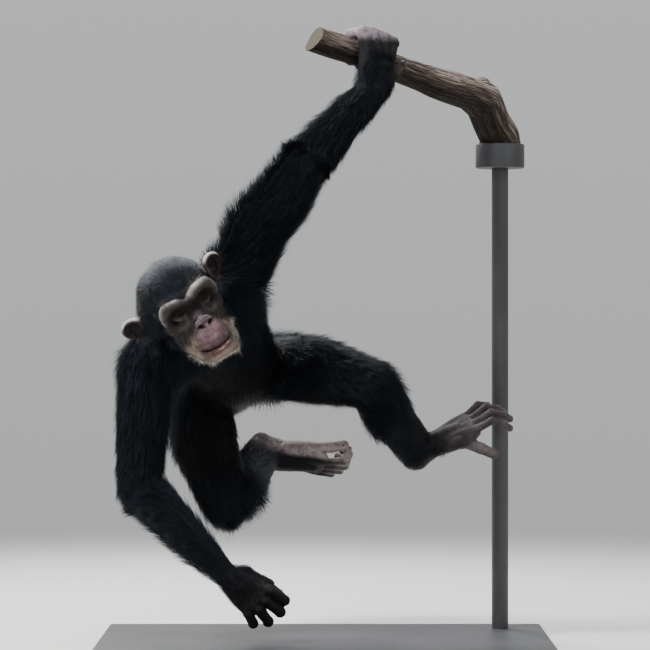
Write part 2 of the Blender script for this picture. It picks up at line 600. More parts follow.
back_of_hand = (around(0, -90, 1) - HAND_ON_BRANCH).normalized()
knuckles, left_shells = [], []
for along_branch, size, lift in zip((0.031, 0.0075, -0.0165, -0.040), (0.97, 1, 0.97, 0.86), (-0.002, 0.001, 0.001, -0.002)):
    knuckle = around(along_branch, -41, 0.0470 + lift)
    path = [knuckle, around(along_branch * 0.95, 23 * size, 0.0375), around(along_branch * 0.92, 78 * size, 0.0410),
            around(along_branch * 0.90, 106 * size, 0.0350)]
    thickness = FINGER_R * (0.9 + 0.1 * size) * 1.12
    left_shells += digit(path, thickness)
    creases_across([WRIST_LEFT] + path, thickness, (path[1] - around(along_branch * 0.98, 0, 0)).normalized())
    nails.append(nail(path, thickness, path[-1] - around(along_branch * 0.94, 0, 0)))
    knuckles.append(knuckle)
thumb = [around(0.030, -128, 0.056), around(0.045, -108, 0.0430), around(0.056, -88, 0.0368)]
left_shells += digit(thumb, FINGER_R * 0.94)
nails.append(nail(thumb, FINGER_R * 0.94, thumb[-1] - around(0.060, 0, 0)))
left_shells.append(hull(ball(WRIST_LEFT, 0.0245), ball(WRIST_LEFT.lerp(knuckles[1], 0.35) + 0.004 * back_of_hand, 0.0225)))
left_shells.append(hull(ball(WRIST_LEFT - 0.012 * BRANCH_WAY + 0.004 * BRANCH_TOP, 0.0200),
                        ball(WRIST_LEFT.lerp(knuckles[3], 0.45), 0.0165), ball(knuckles[3].lerp(WRIST_LEFT, 0.2), 0.0100)))
for knuckle in knuckles:
    root = WRIST_LEFT.lerp(knuckle, 0.25).lerp(WRIST_LEFT.lerp(knuckles[1], 0.25), 0.4) + 0.004 * back_of_hand
    left_shells.append(hull(ball(root, 0.0175), ball(root.lerp(knuckle, 0.5) + 0.006 * back_of_hand, 0.0140),
                            ball(knuckle - 0.006 * (knuckle - root).normalized(), 0.0108)))
for a, b in zip(knuckles, knuckles[1:]):
    left_shells.append(hull(ball(WRIST_LEFT.lerp(a, 0.30) + 0.005 * back_of_hand, 0.0150),
                            ball(WRIST_LEFT.lerp(b, 0.30) + 0.005 * back_of_hand, 0.0150),
                            ball(a.lerp(WRIST_LEFT, 0.12), 0.0108), ball(b.lerp(WRIST_LEFT, 0.12), 0.0108)))
    left_shells.append(hull(ball(a.lerp(WRIST_LEFT, 0.12), 0.0106), ball(b.lerp(WRIST_LEFT, 0.12), 0.0106),
                            ball(a + 0.004 * BRANCH_TOP, 0.0092), ball(b + 0.004 * BRANCH_TOP, 0.0092)))
left_shells.append(hull(ball(WRIST_LEFT.lerp(thumb[0], 0.25), 0.017), ball(thumb[0].lerp(WRIST_LEFT, 0.12), 0.0125),
                        ball(knuckles[0].lerp(WRIST_LEFT, 0.40), 0.0120)))
left_shells.append(hull(ball(WRIST_LEFT.lerp(ELBOW_LEFT, 0.10), 0.0225), ball(WRIST_LEFT, 0.0222)))
left_shells.append(hull(ball(WRIST_LEFT + Vector((0.014, 0, 0.006)), 0.0225), ball(WRIST_LEFT + Vector((-0.010, 0, -0.002)), 0.0215),
                        ball(knuckles[0].lerp(WRIST_LEFT, 0.45) + 0.003 * BRANCH_WAY, 0.0170),
                        ball(knuckles[3].lerp(WRIST_LEFT, 0.50) - 0.003 * BRANCH_WAY, 0.0160)))
KNUCKLE_Z = knuckles[1].z - 0.004
hand_left = fused("hand_left", left_shells, 0.0014, 2, 15000)

forward = direction(0.74, 0.10, -0.66)
thumbward = direction(0.66, 0.02, 0.74)
palmward = thumbward.cross(forward).normalized()
palmward = palmward if palmward.y > 0 else -palmward
knuckles, right_shells = [], []
for reach_out, offset, splay, size, curl in zip((0.080, 0.084, 0.086, 0.078), (0.0320, 0.0120, -0.0078, -0.0255),
                                                (3, 1, -12, -23), (0.98, 1.05, 1.00, 0.88), (33, 30, 38, 48)):
    knuckle = WRIST_RIGHT + reach_out * forward + offset * thumbward
    way = (math.cos(math.radians(splay)) * forward + math.sin(math.radians(splay)) * thumbward).normalized()
    joints = bent(knuckle, way, palmward, [size * b for b in FINGER], (curl, 78, 45))
    thickness = FINGER_R * (0.5 + 0.5 * size) * 1.06
    right_shells += digit(joints, thickness)
    creases_across([WRIST_RIGHT] + joints, thickness, -palmward)
    nails.append(nail(joints, thickness, (joints[-1] - joints[-2]).cross(thumbward)))
    knuckles.append(knuckle)
thumb = bent(WRIST_RIGHT + 0.034 * forward + 0.029 * thumbward + 0.014 * palmward,
             (0.96 * forward + 0.22 * thumbward).normalized(), palmward, THUMB, (8, 25))
right_shells += digit(thumb, FINGER_R * 0.93)
nails.append(nail(thumb, FINGER_R * 0.93, thumbward))
right_shells.append(hull(ball(WRIST_RIGHT, 0.0215), ball(WRIST_RIGHT + 0.028 * forward, 0.0205)))
for knuckle in knuckles:
    root = WRIST_RIGHT + 0.022 * forward + 0.35 * (knuckle - WRIST_RIGHT).dot(thumbward) * thumbward
    right_shells.append(hull(ball(root, 0.0165), ball(root.lerp(knuckle, 0.5) + 0.003 * palmward, 0.0138),
                             ball(knuckle - 0.006 * (knuckle - root).normalized(), 0.0096)))
for a, b in zip(knuckles, knuckles[1:]):
    right_shells.append(hull(ball(WRIST_RIGHT.lerp(a, 0.25), 0.0170), ball(WRIST_RIGHT.lerp(b, 0.25), 0.0170),
                             ball(a.lerp(WRIST_RIGHT, 0.12), 0.0104), ball(b.lerp(WRIST_RIGHT, 0.12), 0.0104)))
right_shells.append(hull(ball(WRIST_RIGHT + 0.014 * forward + 0.008 * thumbward, 0.0155),
                         ball(thumb[0] - 0.005 * forward, 0.0102)))
right_shells.append(hull(ball(WRIST_RIGHT.lerp(ELBOW_RIGHT, 0.10), 0.0215), ball(WRIST_RIGHT, 0.0212)))
hand_right = fused("hand_right", right_shells, 0.0014, 2, 15000)

# Feet: long soles with four toes and a big toe that stands apart like a thumb. The skin is grey-brown and creased.
TOE = (0.031, 0.026, 0.016)
BIG_TOE = (0.034, 0.024)
TOE_R = 0.0083
BIG_TOE_R = 0.0115


def foot(side, ankle, knee, forward, sole, inward, curls, big_toe_root, big_toe_way, big_toe_curl, pulled_back, instep):
    """One foot as a fused mesh, and its creases and nails."""
    knuckles, shells = [], []
    for reach_out, offset, size in zip((0.117, 0.119, 0.113, 0.103), (0.0245, 0.0080, -0.0085, -0.0238),
                                       (1.0, 1.04, 0.98, 0.84)):
        knuckle = ankle + (reach_out - pulled_back) * forward + offset * inward + (0.006 - instep) * sole
        way = (forward + 0.22 * offset / 0.0235 * inward).normalized()
        joints = bent(knuckle, way, sole, [size * b for b in TOE], curls)
        thickness = TOE_R * (0.5 + 0.5 * size) * 0.98
        shells += digit(joints, thickness)
        creases_across([ankle] + joints, thickness, -sole)
        nails.append(nail(joints, thickness, (joints[-1] - joints[-2]).cross(inward) * (
            1 if (joints[-1] - joints[-2]).cross(inward).dot(sole) < 0 else -1)))
        knuckles.append(knuckle)
    root = ankle + big_toe_root[0] * forward + big_toe_root[1] * inward + big_toe_root[2] * sole
    joints = bent(root, big_toe_way, sole, BIG_TOE, big_toe_curl)
    shells += digit(joints, BIG_TOE_R * 1.06)
    creases_across([ankle] + joints, BIG_TOE_R, inward)
    nails.append(nail(joints, BIG_TOE_R * 0.97, inward))
    heel = ankle - 0.024 * forward + 0.018 * sole
    shells += [hull(ball(ankle, 0.0240), ball(heel, 0.0210)),
               hull(ball(ankle, 0.0240), ball(ankle + 0.034 * forward + 0.004 * sole, 0.0200)),
               hull(ball(heel, 0.0190), ball(ankle + 0.040 * forward + 0.014 * sole, 0.0155)),
               hull(ball(ankle.lerp(knee, 0.10), 0.0235), ball(ankle, 0.0235))]
    for knuckle in knuckles:
        start = ankle + 0.030 * forward + 0.35 * (knuckle - ankle).dot(inward) * inward + 0.008 * sole
        shells.append(hull(ball(start, 0.0185), ball(start.lerp(knuckle, 0.55), 0.0145),
                           ball(knuckle - 0.005 * (knuckle - start).normalized(), TOE_R)))
    for a, b in zip(knuckles, knuckles[1:]):
        shells.append(hull(ball(ankle.lerp(a, 0.30) + 0.006 * sole, 0.0180), ball(ankle.lerp(b, 0.30) + 0.006 * sole, 0.0180),
                           ball(a.lerp(ankle, 0.10), TOE_R * 1.05), ball(b.lerp(ankle, 0.10), TOE_R * 1.05)))
    ball_of_foot = ankle + 0.080 * forward + 0.004 * inward + 0.016 * sole
    shells.append(hull(ball(ball_of_foot, 0.0135), ball(ankle + 0.035 * forward + 0.012 * sole, 0.0165),
                       ball(knuckles[0] - 0.010 * forward + 0.006 * sole, 0.0090),
                       ball(root + 0.004 * big_toe_way, BIG_TOE_R * 1.02)))
    shells.append(hull(ball(ankle + 0.030 * forward + 0.008 * inward + 0.012 * sole, 0.0175),
                       ball(root - 0.004 * big_toe_way, BIG_TOE_R * 1.15)))
    shells.append(hull(ball(ankle - 0.7 * instep * sole, 0.0245), ball(ankle + 0.045 * forward + (0.004 - instep) * sole, 0.0185),
                       ball(ankle + 0.080 * forward + (0.006 - instep) * sole, 0.0140)))
    return fused(f"foot_{side}", shells, 0.0015, 2, 14000)


forward = direction(0.83, -0.26, 0.50)
sole = direction(0.35, 0.65, -0.67)
inward = forward.cross(-sole).normalized()
sole = forward.cross(inward).normalized()
LEFT_FOOT = (forward, sole, inward)
foot_left = foot("left", ANKLE_LEFT, KNEE_LEFT, forward, sole, inward, (-10, 62, 30), (0.078, 0.032, 0.010),
                 (0.615 * forward + 0.39 * inward + 0.684 * sole).normalized(), (0, 12), 0.0, 0.001)
forward = direction(0.98, 0.0, -0.20)
sole = direction(0.10, 0.52, 0.84)
inward = forward.cross(sole).normalized()
sole = -forward.cross(inward).normalized()
RIGHT_FOOT = (forward, sole, inward)
foot_right = foot("right", ANKLE_RIGHT, KNEE_RIGHT, forward, sole, inward, (10, 72, 76), (0.076, 0.034, 0.012),
                  (0.93 * forward + 0.22 * inward + 0.12 * sole).normalized(), (0, 10), 0.008, 0.012)

# Head: a skull with a heavy brow ridge, flat nose, full muzzle and large ears. The lids bulge over the eyes, and the
# lips part in a slight smile. It is bare in the face and thinly haired above.
EYE_X, EYE_Y, EYE_Z, EYE_R = 0.0275, 0.0105, 0.000, 0.0112


def head_ball(x, y, z, radius):
    return ball(head_point(x, y, z), radius, HEAD_TURN)


head_shells = [
    hull(head_ball(0, 0.080, 0.012, (0.0668, 0.0785, 0.0640)), head_ball(0, 0.034, 0.014, (0.0525, 0.0415, 0.0375))),
    hull(head_ball(-0.020, 0.078, 0.004, (0.0550, 0.0600, 0.0500)), head_ball(0, 0.080, 0.012, 0.0600),
         head_ball(-0.058, 0.074, -0.010, 0.0240)),
    hull(head_ball(0, 0.006, 0.012, 0.0110), head_ball(0, -0.0060, -0.014, 0.0110)),
    hull(head_ball(-0.0105, 0.0050, 0.008, 0.0090), head_ball(0.0105, 0.0050, 0.008, 0.0090),
         head_ball(-0.0140, 0.0020, -0.017, 0.0100), head_ball(0.0140, 0.0020, -0.017, 0.0100)),
    hull(head_ball(-0.0105, -0.0205, -0.0275, 0.0080), head_ball(0.0105, -0.0205, -0.0275, 0.0080),
         head_ball(0, -0.0225, -0.0205, 0.0064)),
    hull(head_ball(0, -0.018, -0.0490, (0.0300, 0.0255, 0.0200)), head_ball(0, 0.030, -0.040, (0.042, 0.030, 0.030))),
    hull(head_ball(0, -0.030, -0.0555, (0.0220, 0.0150, 0.0135)), head_ball(-0.026, -0.010, -0.0580, 0.0130),
         head_ball(0.026, -0.010, -0.0580, 0.0130)),
    hull(head_ball(0, -0.019, -0.0875, (0.0270, 0.0185, 0.0155)), head_ball(0, 0.030, -0.076, (0.034, 0.022, 0.018)),
         head_ball(-0.040, 0.062, -0.042, 0.016), head_ball(0.040, 0.062, -0.042, 0.016)),
    hull(head_ball(-0.016, -0.014, -0.0895, 0.0145), head_ball(0.021, -0.009, -0.0935, 0.0155),
         head_ball(0.030, 0.004, -0.0810, 0.0150), head_ball(-0.026, -0.006, -0.0800, 0.0140)),
]
for side in (-1, 1):
    raised_brow = 0.0030 if side == 1 else 0.0
    head_shells += [
        hull(head_ball(0, -0.009, 0.0175, 0.0085), head_ball(side * 0.018, -0.013, 0.0265 + raised_brow, 0.0100)),
        hull(head_ball(side * 0.018, -0.013, 0.0265 + raised_brow, 0.0100),
             head_ball(side * 0.034, -0.008, 0.0275 + raised_brow, 0.0105)),
        hull(head_ball(side * 0.034, -0.008, 0.0275 + raised_brow, 0.0105),
             head_ball(side * 0.0420, -0.001, 0.0242 + 0.5 * raised_brow, 0.0107),
             head_ball(side * 0.047, 0.008, 0.0175, 0.0107)),
        hull(head_ball(side * 0.047, 0.008, 0.0175, 0.0107), head_ball(side * 0.0503, 0.012, 0.0080, 0.0102),
             head_ball(side * 0.0495, 0.018, -0.002, 0.0095)),
        hull(head_ball(side * 0.0495, 0.018, -0.002, 0.0095), head_ball(side * 0.046, 0.020, -0.024, 0.0115)),
        hull(head_ball(side * 0.042, 0.020, -0.026, 0.0140), head_ball(side * 0.048, 0.062, -0.018, 0.0165)),
        hull(head_ball(side * 0.018, 0.006, -0.026, 0.0120), head_ball(side * 0.042, 0.020, -0.026, 0.0140)),
        hull(head_ball(side * 0.018, 0.010, -0.040, 0.0150), head_ball(side * 0.038, 0.036, -0.046, 0.0180)),
        hull(head_ball(side * 0.0275, -0.003, -0.0745, 0.0135), head_ball(side * 0.037, 0.030, -0.062, 0.0165)),
        hull(head_ball(side * 0.0275, -0.003, -0.0745, 0.0135), head_ball(side * 0.016, -0.016, -0.0870, 0.0140)),
        hull(head_ball(side * EYE_X, EYE_Y, EYE_Z, EYE_R + 0.0018)),
    ]
SMILE = ((-0.0325, -0.012, -0.0715), (-0.019, -0.037, -0.0740), (0, -0.0445, -0.0745), (0.019, -0.037, -0.0740),
         (0.0325, -0.012, -0.0715))
for (x0, y0, z0), (x1, y1, z1) in zip(SMILE, SMILE[1:]):
    head_shells += [
        hull(head_ball(x0, y0 + 0.004, z0 + 0.0065, 0.0064), head_ball(x1, y1 + 0.004, z1 + 0.0065, 0.0064)),
        hull(head_ball(x0 * 0.95, y0 + 0.006, z0 - 0.0062, 0.0060), head_ball(x1 * 0.95, y1 + 0.006, z1 - 0.0062, 0.0060))]
head = fused("head", head_shells, 0.0014, 5, 76000)

EYE_FACING = HEAD_TURN @ Euler((math.radians(90), 0, 0)).to_matrix()
openings = []
for side in (1, -1):
    centre = head_point(side * EYE_X, EYE_Y, EYE_Z)
    openings.append(new_object("socket", hull(ball(centre, EYE_R + GAP))))
    almond = [head_ball(side * EYE_X + dx, EYE_Y + dy, EYE_Z + dz, 0.0008)
              for dy, wide, high, low in ((-0.005, 0.0074, 0.0027, 0.0025), (-0.010, 0.0068, 0.0032, 0.0029),
                                          (-0.030, 0.0086, 0.0044, 0.0042))
              for dx, dz in ((wide, 0.0004), (-wide, -0.0002), (0.45 * wide, high * 0.86), (-0.45 * wide, high * 0.86),
                             (0.45 * wide, -low * 0.86), (-0.45 * wide, -low * 0.86), (0, high), (0, -low))]
    openings.append(new_object("almond", hull(*almond)))
    openings.append(new_object("nostril", hull(head_ball(side * 0.0112, -0.031, -0.0300, (0.0050, 0.003, 0.0038)),
                                               head_ball(side * 0.0068, -0.034, -0.0340, (0.0048, 0.002, 0.0026)),
                                               head_ball(side * 0.0082, -0.012, -0.0285, 0.0022))))
for (x0, y0, z0), (x1, y1, z1) in zip(SMILE, SMILE[1:]):
    openings.append(new_object("slot", hull(
        head_ball(x0 * 0.9, y0 + 0.010, z0, 0.0013), head_ball(x1 * 0.9, y1 + 0.010, z1, 0.0013),
        head_ball(x0 * 1.06, y0 - 0.012, z0, 0.0012 + 0.0012 * (abs(x0) < 0.03)),
        head_ball(x1 * 1.06, y1 - 0.012, z1, 0.0012 + 0.0012 * (abs(x1) < 0.03)))))
boolean(head, openings, "DIFFERENCE")

EAR_HUB = {1: (0.0865, 0.082, 0.0175), -1: (-0.0985, 0.080, 0.0000)}
ears = []
for side in (1, -1):
    turn = HEAD_TURN @ Euler((0, math.radians(8 * side), math.radians(28 * side))).to_matrix()
    hub = head_point(*EAR_HUB[side])
    ear = fused("ear", [hull(ball(hub + turn @ Vector((0, 0, 0.004)), (0.0235, 0.0075, 0.0200), turn),
                             ball(hub + turn @ Vector((-side * 0.008, 0, -0.017)), (0.0115, 0.0065, 0.0110), turn)),
                        hull(ball(hub - turn @ Vector((side * 0.016, 0, 0.008)), (0.014, 0.008, 0.014), turn),
                             ball(hub - turn @ Vector((side * 0.026, 0, 0.008)), (0.014, 0.008, 0.014), turn))],
                0.0011, 3, 9000)
    bowl = new_object("bowl", hull(ball(hub + turn @ Vector((side * 0.001, -0.0080, 0.003)), (0.0178, 0.0092, 0.0142), turn),
                                   ball(hub + turn @ Vector((-side * 0.004, -0.0080, -0.012)), (0.0085, 0.0080, 0.0080), turn)))
    fold = hull(ball(hub + turn @ Vector((side * 0.010, -0.0025, 0.006)), 0.0020),
                ball(hub + turn @ Vector((side * 0.002, -0.0018, 0.013)), 0.0018))
    inner = hull(ball(hub + turn @ Vector((side * 0.010, -0.0025, 0.006)), 0.0020),
                 ball(hub + turn @ Vector((side * 0.006, -0.0025, -0.010)), 0.0022))
    flap = hull(ball(hub + turn @ Vector((-side * 0.011, -0.0050, -0.004)), 0.0032),
                ball(hub + turn @ Vector((-side * 0.013, -0.0020, -0.010)), 0.0032))
    boolean(ear, [bowl], "DIFFERENCE")
    boolean(ear, [new_object("fold", fold), new_object("inner", inner), new_object("flap", flap)], "UNION")
    ears.append(ear)
boolean(skin, [head, hand_left, hand_right, foot_left, foot_right] + ears, "UNION")


def vertex_data(mesh):
    """The places of a mesh's points and the way out of the surface at each, as arrays."""
    places = np.empty(3 * len(mesh.vertices))
    mesh.vertices.foreach_get("co", places)
    normals = np.empty(3 * len(mesh.vertices))
    mesh.vertex_normals.foreach_get("vector", normals)
    return places.reshape(-1, 3), normals.reshape(-1, 3)


def to_head(places):
    """The same places in the head's own measures."""
    return (places - np.array(BROW_CENTRE)) @ np.array(HEAD_TURN)


def line_distance(points, line):
    """How far each point is from a line through the given corners."""
    nearest = np.full(len(points), 1e9)
    for a, b in zip(line, line[1:]):
        a, b = np.array(a), np.array(b)
        share = np.clip((points - a) @ (b - a) / max((b - a) @ (b - a), 1e-12), 0, 1)
        nearest = np.minimum(nearest, np.linalg.norm(points - a - share[:, None] * (b - a), axis=1))
    return nearest


def arc(x, z, radius, start, end, squash=1.0, steps=8):
    """Corners of an arc in the face, in millimetres and degrees."""
    return [(x + radius * math.cos(math.radians(start + (end - start) * i / steps)),
             z + squash * radius * math.sin(math.radians(start + (end - start) * i / steps))) for i in range(steps + 1)]


# Creases of the face, in millimetres from midway between the eyes: corners, half width, depth
EYE_MM = 27.5
FACE_CREASES = [
    (arc(EYE_MM, 0.5, 11.0, 25, 150, 0.85), 1.1, 0.8), (arc(EYE_MM, 0.5, 13.8, 30, 150, 0.85), 1.3, 0.6),
    (arc(EYE_MM, -0.5, 11.5, 200, 345, 0.80), 1.1, 0.7), (arc(EYE_MM, -1.0, 15.0, 205, 340, 0.85), 1.3, 0.9),
    (arc(EYE_MM + 0.5, -1.5, 18.6, 210, 330, 0.88), 1.4, 0.8), (arc(EYE_MM + 1, -2, 22.0, 218, 318, 0.92), 1.5, 0.6),
    ([(41, 1), (47, 3)], 0.9, 0.5), ([(41, -2), (47, -3)], 0.9, 0.5), ([(40, -5), (45, -9)], 0.9, 0.5),
    ([(3.5, 9), (4.5, 20)], 1.4, 0.9), ([(9, 10), (11, 19)], 1.2, 0.5),
    ([(-8, -3), (0, -5), (8, -3)], 1.0, 0.6), ([(-9, -8), (0, -10), (9, -8)], 1.0, 0.6),
    ([(-9, -13), (0, -15), (9, -13)], 1.0, 0.5),
    ([(14, -15), (20, -24), (29, -33), (38, -46), (41, -58)], 2.2, 1.5),
    ([(14.5, -19), (18, -26), (16, -34), (8, -37)], 1.4, 0.9), ([(0, -31), (0, -38)], 1.4, 0.8),
    ([(20, -32), (29, -46), (33, -58)], 1.2, 0.4), ([(42, -30), (46, -46), (45, -62)], 1.6, 0.7),
    ([(48, -22), (53, -40), (51, -56)], 1.6, 0.5),
    ([(0, -38), (0, -52)], 1.2, 0.35), ([(34, -66), (37.5, -73), (37, -82)], 1.5, 0.9),
    ([(0, -88), (12, -87), (21, -83)], 1.6, 0.6),
]
FACE_CREASES += [([(x, -42 + 0.02 * x * x), (x * 1.12, -62 + 0.012 * x * x)], 0.8, 0.22) for x in (5, 10, 15, 20, 25)]
places, normals = vertex_data(skin.data)
local = to_head(places)
facing = (normals @ np.array(HEAD_TURN))[:, 1]
in_face = (np.abs(local[:, 0]) < 0.056) & (local[:, 1] < 0.045) & (local[:, 2] > -0.105) & (local[:, 2] < 0.040)
in_face &= facing < 0.35
face_plane = 1000 * local[in_face][:, [0, 2]]
push = np.zeros(len(face_plane))
for line, half_width, depth in FACE_CREASES:
    for side in (1, -1):
        mirrored = [(side * x, z) for x, z in line]
        push -= 0.001 * depth * np.exp(-(line_distance(face_plane, mirrored) / half_width) ** 2) / (
            2 if line[0][0] == 0 or line[0][0] < 0 else 1)
places[in_face] += push[:, None] * normals[in_face]
for spot, way, radius in knuckle_lines:
    offset = places - np.array(spot)
    near = np.linalg.norm(offset, axis=1) < 1.6 * radius
    slide = offset[near] @ np.array(way)
    places[near] -= 0.0005 * np.exp(-(slide / 0.0010) ** 2)[:, None] * normals[near]
skin.data.vertices.foreach_set("co", places.ravel())
skin.data.update()
print("SKIN", len(skin.data.vertices), sum(len(p.vertices) - 2 for p in skin.data.polygons))

# Skin colours: airbrushed zones over a dark ground, each a place, a reach, a colour and a strength
PALE_BROW, BROW_GREY, DARK_SOCKET = (0.560, 0.530, 0.510), (0.044, 0.037, 0.035), (0.0060, 0.0035, 0.0035)
DARK_CHEEK, MAUVE_LIP, WET_LIP = (0.044, 0.034, 0.031), (0.180, 0.110, 0.124), (0.165, 0.080, 0.076)
NOSE_LILAC, CHIN_TAN, EAR_DARK = (0.135, 0.102, 0.113), (0.250, 0.196, 0.156), (0.018, 0.012, 0.012)
EAR_BROWN = (0.036, 0.026, 0.023)
LIP_SHADE, LIP_TAN, LIP_GLINT = (0.070, 0.040, 0.043), (0.160, 0.120, 0.084), (0.560, 0.440, 0.400)
HAND_DARK, HAND_LILAC, SOLE_PINK = (0.010, 0.009, 0.010), (0.270, 0.232, 0.262), (0.460, 0.390, 0.380)
FOOT_GREY, EAR_RIM, TOE_GREY = (0.028, 0.023, 0.025), (0.560, 0.510, 0.510), (0.066, 0.053, 0.054)
HEAD_ZONES = [
    ((0, 0.000, -0.030), (0.072, 0.070, 0.078), DARK_CHEEK, 1.0),
    ((0.024, -0.014, 0.032), (0.036, 0.026, 0.018), BROW_GREY, 1.0), ((0.048, 0.002, 0.020), (0.020, 0.028, 0.026), BROW_GREY, 0.9),
    ((0.0260, 0.000, 0.009), (0.027, 0.030, 0.024), DARK_SOCKET, 1.0), ((0.009, -0.006, 0.002), (0.020, 0.024, 0.024), DARK_SOCKET, 0.85),
    ((0.0290, -0.004, -0.007), (0.017, 0.024, 0.0125), (0.088, 0.074, 0.076), 1.0),
    ((0.0300, -0.002, -0.019), (0.022, 0.022, 0.012), (0.096, 0.079, 0.078), 0.8),
    ((0.004, -0.022, -0.021), (0.028, 0.026, 0.020), NOSE_LILAC, 1.0), ((0.010, -0.026, -0.032), (0.008, 0.012, 0.006), DARK_SOCKET, 0.6),
    ((0, -0.034, -0.052), (0.042, 0.032, 0.026), MAUVE_LIP, 1.0), ((0.034, -0.014, -0.056), (0.014, 0.026, 0.022), LIP_TAN, 0.8),
    ((0.004, -0.040, -0.0690), (0.032, 0.020, 0.0085), LIP_SHADE, 0.9),
    ((0, -0.024, -0.096), (0.050, 0.050, 0.024), CHIN_TAN, 1.0), ((0.040, -0.002, -0.074), (0.018, 0.030, 0.030), CHIN_TAN, 0.9),
    ((0, -0.040, -0.0800), (0.033, 0.020, 0.0105), WET_LIP, 1.0), ((0.014, -0.038, -0.0800), (0.024, 0.020, 0.0100), WET_LIP, 1.0),
]
BROW_EDGE = [(0.006, -0.014, 0.0290), (0.018, -0.016, 0.0360), (0.034, -0.012, 0.0370), (0.048, 0.002, 0.0280),
             (0.056, 0.012, 0.0100), (0.057, 0.018, -0.006)]


def airbrush(colours, places, centre, reach, colour, strength):
    """Sprays a colour over the points near a centre, strongest there."""
    spread = np.linalg.norm((places - np.array(centre)) / np.array(reach), axis=1)
    share = strength * np.clip(1.6 * (1 - spread), 0, 1)[:, None]
    colours[:] = colours * (1 - share) + np.array(colour) * share


def soft_step(values, low, high):
    """0 below low and 1 above high, with an even slope between."""
    share = np.clip((values - low) / (high - low), 0, 1)
    return share * share * (3 - 2 * share)


def bare_face(local):
    """1 on the bare skin of the face, and 0 where the head's hair begins, in the head's measures."""
    x, y, z = local.T
    hairline = 0.0365 + 0.0040 * soft_step(x, 0.0, 0.02) - 0.0090 * np.exp(-((x + 0.007) / 0.011) ** 2)
    hairline -= 11.0 * np.clip(np.abs(x) - 0.036, 0, 1) ** 2
    share = soft_step(hairline - z, -0.001, 0.002)
    share *= soft_step(0.028 - y + 0.20 * np.clip(-z - 0.03, 0, 1), -0.003, 0.004)
    return share * soft_step(0.0615 - np.abs(x), 0, 0.003) * soft_step(z, -0.120, -0.112)


EAR_TURN = {side: np.array(Euler((0, math.radians(8 * side), math.radians(28 * side))).to_matrix()) for side in (1, -1)}


def ear_place(local):
    """Where a point is in its ear, 0 in the middle, 1 on the rim and 9 for the rest of the head, and its height there."""
    middle, height = np.full(len(local), 9.0), np.zeros(len(local))
    for side, turn in EAR_TURN.items():
        offset = (local - np.array(EAR_HUB[side])) @ turn
        near = (np.abs(offset) < 0.035).all(axis=1) & (np.abs(local[:, 0]) > 0.064)
        up = offset[near][:, 2] - 0.004
        middle[near] = np.hypot(offset[near][:, 0] / 0.0235, up / np.where(up > 0, 0.0200, 0.0320))
        height[near] = up
    return middle, height


